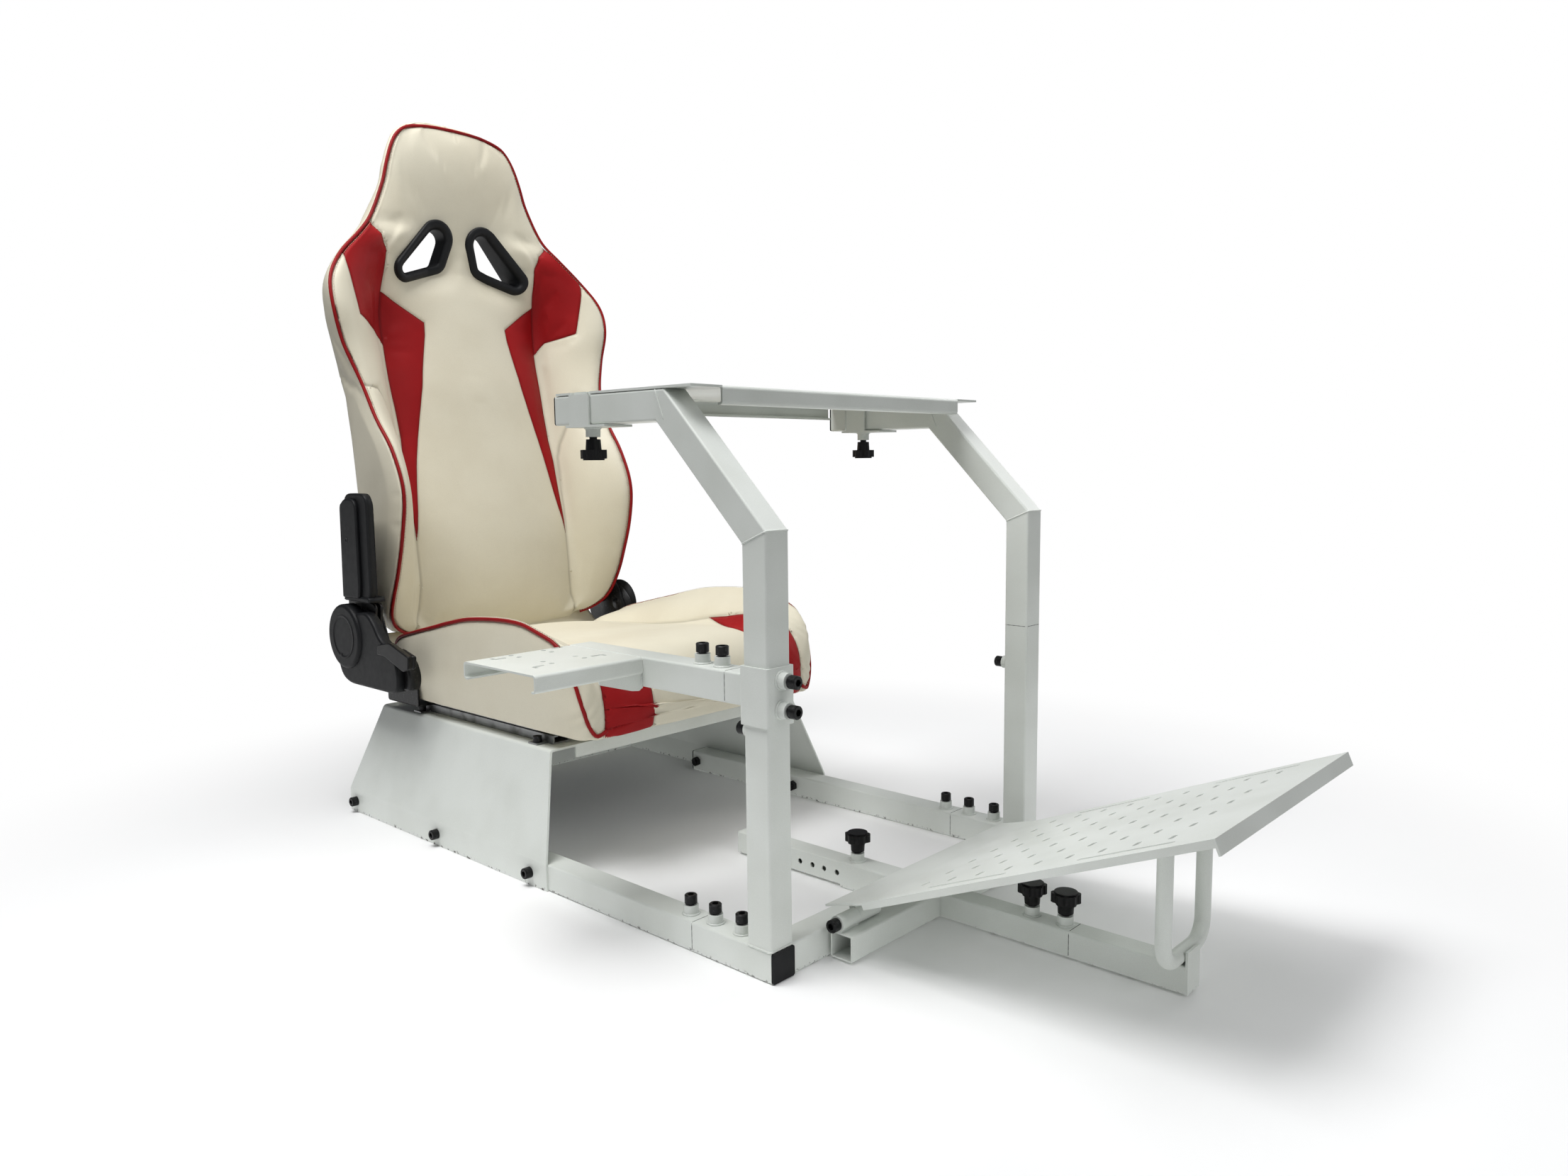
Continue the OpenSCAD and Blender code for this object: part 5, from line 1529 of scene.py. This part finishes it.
@dataclass
class Recliner:
    """Seat pan and recliner: a tall covered arm on one side, a plain hinge on the other.

    Outlines are in millimetres: Y and Z for upright plates, X and Y for flat ones. The
    near side, which has the tall arm, is given as the sign of its X.
    """

    finishes: Finishes
    pivot: tuple[float, float] = (940.0, 313.0)
    boss: tuple[float, float] = (943.0, 315.0)
    lever_side: float = -1.0
    pan_w: float = 222.0
    pan_drop: float = 2.9
    sheet: float = 2.4
    rail_x: float = 266.0
    plate_in: float = 300.0
    plate_x: float = 303.0
    cover_x: float = 320.0

    def covers(self) -> None:
        """Moulded covers of the lower halves."""
        made = Moulding()
        near = self.lever_side
        cover = rounded([[871, 362], [850, 346], [828, 318], [796, 309], [779, 286], [774, 262],
            [778, 240], [800, 235], [940, 235], [966, 246], [985, 290], [960, 350]],
            [14, 10, 18, 16, 14, 12, 12, 14, 18, 16, 20, 20])
        inner = self.plate_x + 0.5
        made.add(cover, near * inner, near * self.cover_x, 4.5)
        made.disc(self.boss, 55.0, near * inner, near * 325.0, 6.0)
        made.disc(self.boss, 37.0, near * 324.0, near * 325.8, 0.7, dish=1.4)
        made.disc((952.0, 283.0), 3.4, near * 323.0, near * 325.9, 0.5, dish=-0.4)
        low = rounded([[925, 305], [880, 306], [826, 306], [796, 302], [779, 282], [775, 260],
            [782, 241], [800, 236], [939, 236], [954, 248], [956, 290]],
            [10, 8, 14, 14, 12, 12, 12, 12, 12, 12, 10])
        made.add(low, -near * inner, -near * 318.0, 4.0)
        made.disc(self.pivot, 49.0, -near * self.rail_x, -near * 274.0, 3.5)
        piece = made.build("recliner_covers", self.finishes.plastic)
        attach(piece, "seat")
        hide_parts("recliner_bases")

    def pan(self) -> None:
        """Steel pan under the cushion, with the hinges' upright plates."""
        made = Moulding()
        near = self.lever_side
        wide, low, edge, rail = self.pan_w, self.pan_z(), 0.8, self.rail_x
        sheet = rounded([[-wide, 472], [wide, 472], [wide, 888], [-wide, 888]], [12] * 4)
        made.add(sheet, low, low + self.sheet, edge, axis=2)
        for side in (near, -near):
            tab = rounded([[side * 200, 812], [side * rail, 812], [side * rail, 912],
                [side * 200, 912]], [6, 4, 4, 6])
            made.add(tab, low, low + self.sheet, edge, axis=2)
            web = rounded([[812, low], [912, low], [912, 242], [812, 242]], [4] * 4)
            made.add(web, side * 262.8, side * rail, edge)
            shelf = rounded([[side * 263, 812], [side * 303, 795], [side * 303, 930],
                [side * 263, 912]], [4] * 4)
            made.add(shelf, 238.4, 241.6, edge, axis=2)
        plate = rounded([[765, 246], [785, 237], [950, 237], [985, 300], [945, 356],
            [905, 366], [868, 350], [835, 318], [779, 296], [762, 278]],
            [8, 6, 16, 24, 24, 20, 16, 14, 14, 12])
        made.add(plate, near * self.plate_in, near * self.plate_x, 1.0)
        short = rounded([[765, 246], [785, 237], [950, 237], [958, 290], [930, 300],
            [835, 304], [779, 292], [762, 276]], [8, 6, 12, 10, 10, 12, 14, 12])
        made.add(short, -near * self.plate_in, -near * self.plate_x, 1.0)
        stem = rounded([[876, 236], [948, 236], [986, 310], [964, 352], [930, 354], [898, 326]],
            [10, 16, 22, 16, 16, 14])
        made.add(stem, -near * 262.5, -near * rail, 1.0)
        hem = rounded([[768, 288], [756, 264], [764, 241], [786, 241], [786, 292]],
            [8, 12, 8, 3, 3])
        for side in (near, -near):
            made.add(hem, side * 288.0, side * 308.0, 4.5)
        piece = made.build("recliner_pan", self.finishes.screws)
        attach(piece, "seat")
        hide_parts("seat_pan")

    def pan_z(self) -> float:
        """Underside of the pan, in millimetres."""
        return float(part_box("seat_cushion")[0][2]) / MM - self.pan_drop

    def arms(self) -> None:
        """Tall arm's plastic cover, and the steel hinges that carry the backrest."""
        cover, steel = Moulding(), Moulding()
        near = self.lever_side
        strip = rounded([[896, 382], [892, 400], [892, 547], [943, 547], [946, 382]],
            [4, 8, 20, 20, 4])
        cover.add(strip, near * 311.0, near * 318.0, 2.6)
        main = rounded([[872, 378], [866, 396], [865, 556], [942, 556], [950, 378]],
            [6, 10, 22, 20, 6])
        cover.add(main, near * 300.4, near * 312.0, 3.0)
        inner = rounded([[893, 377], [893, 549], [944, 549], [950, 377]], [4, 18, 16, 4])
        cover.add(inner, near * 285.0, near * 301.0, 3.0)
        back = rounded([[938, 378], [938, 544], [972, 540], [976, 378]], [4, 12, 12, 4])
        cover.add(back, near * 280.0, near * 306.0, 3.0)
        lip = rounded([[864, 376], [866, 385], [949, 385], [953, 376]], [4, 4, 4, 4])
        cover.add(lip, near * 287.0, near * 315.5, 3.0)
        cover.disc((927.0, 479.0), 5.2, near * 317.0, near * 318.4, 0.6, dish=1.0)
        piece = cover.build("recliner_arm_cover", self.finishes.plastic)
        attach(piece, "seat_back")
        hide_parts("recliner_arms")
        hub = rounded([[896, 296], [876, 372], [950, 376], [984, 322], [966, 286], [930, 272]],
            [22, 14, 10, 24, 20, 20])
        steel.add(hub, near * 294.0, near * 298.6, 1.4)
        steel.add(hub, near * 284.0, near * 289.0, 1.4)
        lug = rounded([[955, 334], [956, 528], [978, 528], [1000, 344]], [6, 6, 6, 10])
        steel.add(lug, near * 262.0, near * 286.0, 2.0)
        foot = rounded([[908, 300], [930, 345], [956, 374], [1010, 374], [1034, 322],
            [1024, 272], [932, 268]], [14, 14, 10, 14, 20, 24, 18])
        for side in (near, -near):
            steel.add(foot, side * 258.6, side * 262.0, 1.2)
            steel.disc(self.pivot, 11.0, side * 258.0, side * (304.0 if side == near else 274.6),
                1.5)
        for y, z in ((966, 490), (970, 410)):
            steel.disc((y, z), 8.0, near * 250.0, near * 266.0, 1.5)
        for y, z in ((975, 350), (985, 320)):
            steel.disc((y, z), 7.0, -near * 244.0, -near * 265.5, 1.5)
        piece = steel.build("recliner_hinges", self.finishes.screws)
        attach(piece, "seat_back")

    def flap(self) -> None:
        """Leather flap that closes the gap between the cushion and the backrest."""
        columns, thick, front, length, ruffle = 61, 2.4, 902, 86, 1.2
        across = np.linspace(-1, 1, columns)
        path = catmull(np.array([[902, 268, 240], [922, 266, 240], [944, 264, 238],
            [962, 270, 234], [978, 286, 228], [990, 304, 222]], float), 5)
        rows = []
        for y, z, wide in path:
            fade = math.sin((y - front) / length * math.pi)
            crease = ruffle * np.sin(across * 23 + y * 0.12) * fade
            rows.append(np.stack([across * wide, np.full(columns, y), z + crease], 1))
        top = np.array(rows)
        under = top - np.array([0, 0, thick])
        count = len(top) * columns
        number = np.arange(count).reshape(len(top), columns)
        quads = np.stack([number[:-1, :-1], number[:-1, 1:], number[1:, 1:], number[1:, :-1]],
            -1).reshape(-1, 4)
        edge = np.concatenate([number[0], number[1:, -1], number[-1, -2::-1],
            number[-2:0:-1, 0]])
        ahead = np.roll(edge, -1)
        faces = np.concatenate([quads, quads[:, ::-1] + count,
            np.stack([ahead, edge, edge + count, ahead + count], 1)])
        piece = mesh_object("seat_flap", np.concatenate([top.reshape(-1, 3),
            under.reshape(-1, 3)]) * MM, faces, [self.finishes.cream])
        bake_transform(piece)

    def levers(self) -> None:
        """Recline levers with angular paddles."""
        paddle = rounded([[822, 298], [819, 314], [781, 321], [722, 304], [725, 285],
            [741, 279], [799, 298]], [4, 6, 5, 2.5, 2.5, 3, 6])
        tip = rounded([[760, 313], [722, 304], [725, 285], [741, 279], [764, 287]],
            [3, 2.5, 2.5, 3, 3])
        for side, body in ((-1.0, "right_lever"), (1.0, "left_lever")):
            made = Moulding()
            made.add(paddle, side * 320.8, side * 329.0, 1.6)
            made.add(tip, side * 322.0, side * 314.0, 1.6)
            made.disc((812.0, 303.0), 7.5, side * 306.0, side * 322.0, 0.8)
            piece = made.build(body + "_paddle", self.finishes.knob)
            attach(piece, body)
            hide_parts(body)

    def build(self) -> None:
        """Builds the whole recliner."""
        self.covers()
        self.pan()
        self.arms()
        self.flap()
        self.levers()


@dataclass
class SteelFrame:
    """Powder-coated tubes and plates, with their weld beads and joint lines."""

    finishes: Finishes
    tube: float = 38.0
    side_x: float = 281.0
    bead: float = 1.7
    boss_r: float = 9.8
    floor_gap: float = 0.0002

    def dress(self) -> None:
        """Gives every carried-over rigid node its material."""
        finishes = self.finishes
        named = {
            finishes.white: (
                "right_foot", "left_foot", "right_post", "left_post", "front_cross_tube",
                "pedal_sleeve", "right_rail", "left_rail", "right_side_plate",
                "left_side_plate", "seat_beams", "rear_floor_tube", "shifter_sleeve",
                "right_wheel_arm", "left_wheel_arm", "wheel_plate", "deck_clamps",
                "shifter_arm", "shifter_plate", "pedal_tongue", "pedal_cross_tube",
                "pedal_prop", "prop_bar", "pedal_plate"),
            finishes.knob: (
                "right_clamp_knob", "left_clamp_knob", "pedal_sleeve_knob", "rear_prop_knob",
                "front_prop_knob"),
            finishes.plastic: ("frame_plugs", "arm_plugs"),
            finishes.screws: ("frame_screws", "shifter_screws", "pedal_pivot_screws"),
            finishes.zinc: ("lower_runners", "upper_runners"),
        }
        for finish, nodes in named.items():
            for node in nodes:
                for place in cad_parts[node].material_slots:
                    place.material = finish
                log.info("%s: %s", node, finish.name)

    def ring(self, sweep: Sweep, centre: tuple, axis: int = 2) -> None:
        """Adds a weld bead round a screw boss.

        Args:
            sweep: Mesh that takes the bead.
            centre: Middle of the bead in millimetres.
            axis: Axis of the boss, 0, 1 or 2.
        """
        count = 40
        turn = np.linspace(0, 2 * math.pi, count, endpoint=False)
        circle = np.zeros((count, 3))
        circle[:, (axis + 1) % 3] = np.cos(turn) * self.boss_r
        circle[:, (axis + 2) % 3] = np.sin(turn) * self.boss_r
        ripple = self.bead * (1 + 0.16 * np.sin(turn * 13))
        sweep.add((circle + np.array(centre)) * MM, ripple * MM, closed=True)

    def run(self, sweep: Sweep, start: tuple, end: tuple) -> None:
        """Adds a straight weld bead between two points in millimetres."""
        a, b = np.array(start, float), np.array(end, float)
        count = max(6, int(np.linalg.norm(b - a) / 1.4))
        share = np.linspace(0, 1, count)[:, None]
        ripple = self.bead * (1 + 0.2 * np.sin(np.arange(count) * 1.9))
        ripple[0] = ripple[-1] = self.bead * 0.5
        sweep.add((a * (1 - share) + b * share) * MM, ripple * MM)

    def collar(self, sweep: Sweep, centre: tuple, side: float, axis: int, radius: float,
            corner: float = 3.0, tilt: float = 0.0) -> None:
        """Adds a bead round a square tube.

        Args:
            sweep: Mesh that takes the bead.
            centre: Middle of the tube in millimetres.
            side: Side of the square in millimetres.
            axis: Axis along which the tube runs, 1 or 2.
            radius: Radius of the bead in millimetres.
            corner: Corner radius of the tube in millimetres.
            tilt: Turn about X in degrees, for a mitre.
        """
        h = side / 2
        points = []
        for k, (sx, sy) in enumerate(((1, 1), (-1, 1), (-1, -1), (1, -1))):
            for a in np.linspace(0, 90, 5):
                angle = math.radians(a + 90 * k)
                points.append([sx * (h - corner) + corner * math.cos(angle),
                    sy * (h - corner) + corner * math.sin(angle)])
        loop = np.array(points + points[:1])
        loop = take(loop, even_steps(loop, 2.2))[:-1]
        lean = math.tan(math.radians(tilt))
        if axis == 2:
            line = np.stack([loop[:, 0], loop[:, 1], loop[:, 1] * lean], 1)
        else:
            line = np.stack([loop[:, 0], loop[:, 1] * lean, loop[:, 1]], 1)
        count = len(line)
        ripple = radius * (1 + 0.12 * np.sin(np.arange(count) * 2 * math.pi * 17 / count))
        sweep.add((line + np.array(centre)) * MM, ripple * MM, closed=True)

    def welds(self) -> None:
        """Adds the weld beads of each moving body."""
        tube, x, half = self.tube, self.side_x, self.tube / 2
        main = Sweep(6)
        for s in (-1, 1):
            for y in (46, 92, 136):
                self.ring(main, (s * x, y, tube + 0.4))
            self.collar(main, (s * x, 0, tube + 0.3), tube, 2, 1.5)
            self.ring(main, (s * x, half + 0.4, 291), 1)
            for z in (0.8, tube - 0.8):
                self.run(main, (s * (x - half - 0.3), -half + 3, z),
                    (s * (x - half - 0.3), half - 3, z))
        self.ring(main, (0, 94, tube + 0.4))
        for s in (-1, 1):
            self.run(main, (s * (half + 0.4), -half + 3, tube - 0.8),
                (s * (half + 0.4), half - 3, tube - 0.8))
        sleeve = half + 3.3
        for z in (321, 355):
            self.ring(main, (-x, -sleeve - 0.4, z), 1)
        self.collar(main, (-x, sleeve + 0.6, 341), tube, 1, 1.4)
        self.weld_piece(main, "frame_welds", "frame")
        arms = Sweep(6)
        for s in (-1, 1):
            self.collar(arms, (s * x, 0, 516), tube, 2, 1.1, tilt=-22.5)
            self.collar(arms, (s * x, 153, 669), tube, 1, 1.1, tilt=22.5)
        self.weld_piece(arms, "wheel_arm_welds", "wheel_arms")
        deck = Sweep(6)
        for s in (-1, 1):
            self.ring(deck, (s * x, 305, 646.1))
            for y in (285, 325):
                self.run(deck, (s * (x - 22.8), y, 650), (s * (x - 22.8), y, 687))
        self.weld_piece(deck, "wheel_plate_welds", "wheel_deck")
        shift = Sweep(6)
        for y in (72, 106):
            self.ring(shift, (-x, y, 360.4))
        self.run(shift, (-300.4, 198, 359.0), (-300.4, 342, 359.0))
        self.run(shift, (-300.4, 198, 337), (-300.4, 198, 320))
        self.weld_piece(shift, "shifter_welds", "shifter_support")
        tongue = Sweep(6)
        for y in (-230, -184):
            self.ring(tongue, (0, y, 35.9))
        for s in (-1, 1):
            for z in (5, 33):
                self.run(tongue, (s * 17, -55, z), (s * 17, -27, z))
        self.weld_piece(tongue, "pedal_tongue_welds", "pedal_tongue")
        prop = Sweep(6)
        for s in (-1, 1):
            self.run(prop, (s * 12, -374, 36.3), (s * 12, -381, 36.3))
            self.run(prop, (s * 13, -386, 36), (s * 16.3, -386, 30))
        self.weld_piece(prop, "pedal_prop_welds", "pedal_prop")

    def weld_piece(self, sweep: Sweep, name: str, body: str) -> None:
        """Makes one piece of beads ride its body, with none of it below the floor."""
        made = sweep.build(name, self.finishes.white)
        for vertex in made.data.vertices:
            vertex.co.z = max(vertex.co.z, self.floor_gap)
        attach(made, body)
        log.info("%s: %d faces", name, len(sweep.faces))

    def joints(self) -> None:
        """Adds the dark lines where two tubes meet end to end."""
        tube, x, half = self.tube, self.side_x, self.tube / 2
        lines = {"frame": Sweep(5), "wheel_arms": Sweep(5), "shifter_support": Sweep(5),
            "pedal_prop": Sweep(5)}
        for s in (-1, 1):
            self.seam(lines["frame"], (s * x, 115, half), tube, 1)
            self.seam(lines["wheel_arms"], (s * x, 0, 352), tube, 2)
        self.seam(lines["shifter_support"], (-x, 50, 341), tube, 1)
        self.seam(lines["pedal_prop"], (0, -243, half), 33.0, 1)
        for body, sweep in lines.items():
            made = sweep.build(body + "_joint_lines", self.finishes.joint)
            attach(made, body)

    def seam(self, sweep: Sweep, centre: tuple, side: float, axis: int) -> None:
        """Adds one dark line round a square tube."""
        self.collar(sweep, centre, side - 0.7, axis, 0.62, corner=2.7)


@dataclass(frozen=True)
class Lamp:
    """One soft square lamp: its place and side in metres, and its power in watts."""

    name: str
    place: tuple[float, float, float]
    size: float
    power: float

    def hang(self, aim: tuple[float, float, float]) -> None:
        """Adds the lamp to the scene, facing a point in metres."""
        data = bpy.data.lights.new(self.name, "AREA")
        data.size = self.size
        data.energy = self.power
        lamp = bpy.data.objects.new(self.name, data)
        bpy.context.scene.collection.objects.link(lamp)
        lamp.location = self.place
        way = Vector(aim) - Vector(self.place)
        lamp.rotation_euler = way.to_track_quat("-Z", "Y").to_euler()


@dataclass
class Studio:
    """Pale floor, soft lamps and the camera at the photograph's view.

    The eye is in millimetres, the turns in degrees, and the focal length and the
    frame's width in pixels. The floor fades to white between two distances in metres,
    and lights the cockpit from below a little more than the lamps alone would.
    """

    eye: tuple[float, float, float] = (-1185.25, -859.33, 599.34)
    yaw: float = 47.415
    pitch: float = -6.466
    roll: float = -0.638
    focal: float = 1565.92
    frame_w: float = 2212.0
    sensor_w: float = 36.0
    aim: tuple[float, float, float] = (0.0, 0.35, 0.45)
    lamps: tuple[Lamp, ...] = (
        Lamp("key_lamp", (-1.2, 0.6, 3.0), 1.6, 72),
        Lamp("top_lamp", (0.2, 0.2, 3.2), 2.4, 32),
        Lamp("right_lamp", (3.0, 0.0, 1.8), 1.8, 22),
        Lamp("front_lamp", (-0.4, -3.0, 1.9), 2.0, 25))
    world_light: float = 0.13
    floor_light: float = 0.25
    fade: tuple[float, float] = (0.8, 1.45)
    fade_middle: tuple[float, float, float] = (0.0, 0.3, 0.0)
    floor_reach: float = 14.0
    floor_z: float = -0.0004

    def camera(self) -> None:
        """Places the camera."""
        yaw, pitch, roll = (math.radians(a) for a in (self.yaw, self.pitch, self.roll))
        ahead = Vector((math.sin(yaw) * math.cos(pitch), math.cos(yaw) * math.cos(pitch),
            math.sin(pitch)))
        right = ahead.cross(Vector((0, 0, 1))).normalized()
        up = right.cross(ahead)
        across = right * math.cos(roll) + up * math.sin(roll)
        tall = -right * math.sin(roll) + up * math.cos(roll)
        data = bpy.data.cameras.new("camera")
        data.sensor_width = self.sensor_w
        data.sensor_fit = "HORIZONTAL"
        data.lens = self.focal / self.frame_w * data.sensor_width
        data.clip_start = 0.05
        data.clip_end = 60.0
        camera = bpy.data.objects.new("camera", data)
        bpy.context.scene.collection.objects.link(camera)
        turn = Matrix((across, tall, -ahead)).transposed().to_4x4()
        camera.matrix_world = Matrix.Translation(Vector(self.eye) * MM) @ turn
        bpy.context.scene.camera = camera

    def lights(self) -> None:
        """Hangs the lamps and sets the world."""
        for lamp in self.lamps:
            lamp.hang(self.aim)
            log.info("%s: %g W", lamp.name, lamp.power)
        board = NodeBoard("studio", world=True)
        rays = board.node("LightPath")
        direct = board.math("MAXIMUM", rays.outputs["Is Camera Ray"],
            rays.outputs["Is Transmission Ray"])
        seen = board.node("Background", Strength=1.0, Color=linear(255, 255, 255))
        soft = board.node("Background", Strength=self.world_light, Color=linear(240, 244, 250))
        bpy.context.scene.world = board.close_mixed(direct, soft.outputs[0], seen.outputs[0])

    def floor(self) -> None:
        """Lays the pale floor, which keeps the cockpit's shadow and fades to white."""
        board = NodeBoard("pale_floor")
        rays = board.node("LightPath")
        seen = board.math("MAXIMUM", rays.outputs["Is Camera Ray"],
            rays.outputs["Is Glossy Ray"])
        spread = board.node("VectorMath", operation="DISTANCE")
        board.feed(spread.inputs[0], board.place())
        spread.inputs[1].default_value = self.fade_middle
        fade = board.ramp(spread.outputs["Value"], *self.fade)
        matt = board.node("BsdfDiffuse")
        board.feed(matt.inputs["Color"], board.mix(board.noise(3.0), linear(247, 247, 247),
            linear(244, 244, 244)))
        glow = board.node("Emission")
        board.feed(glow.inputs["Strength"], board.math("MULTIPLY",
            rays.outputs["Is Diffuse Ray"], self.floor_light))
        both = board.node("AddShader")
        board.feed(both.inputs[0], matt.outputs[0])
        board.feed(both.inputs[1], glow.outputs[0])
        white = board.node("Emission")
        board.feed(white.inputs["Strength"], seen)
        finish = board.close_mixed(fade, both.outputs[0], white.outputs[0])
        corners = np.array([[x * self.floor_reach, y * self.floor_reach, self.floor_z]
            for x, y in ((-1, -1), (1, -1), (1, 1), (-1, 1))])
        made = mesh_object("floor", corners, [(0, 1, 2, 3)], [finish])

    def build(self) -> None:
        """Builds the whole studio."""
        bpy.context.scene.view_settings.view_transform = "Standard"
        self.camera()
        self.lights()
        self.floor()


def main() -> None:
    """Builds the studio and every sub-assembly."""
    logging.basicConfig(level=logging.INFO, format="%(name)s: %(message)s")
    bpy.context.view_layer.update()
    Studio().build()
    finishes = Finishes()
    steel = SteelFrame(finishes)
    steel.dress()
    steel.welds()
    steel.joints()
    Recliner(finishes).build()
    Cushion(finishes).build()
    Backrest(finishes).build()
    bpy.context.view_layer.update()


if __name__ == "__main__":
    main()
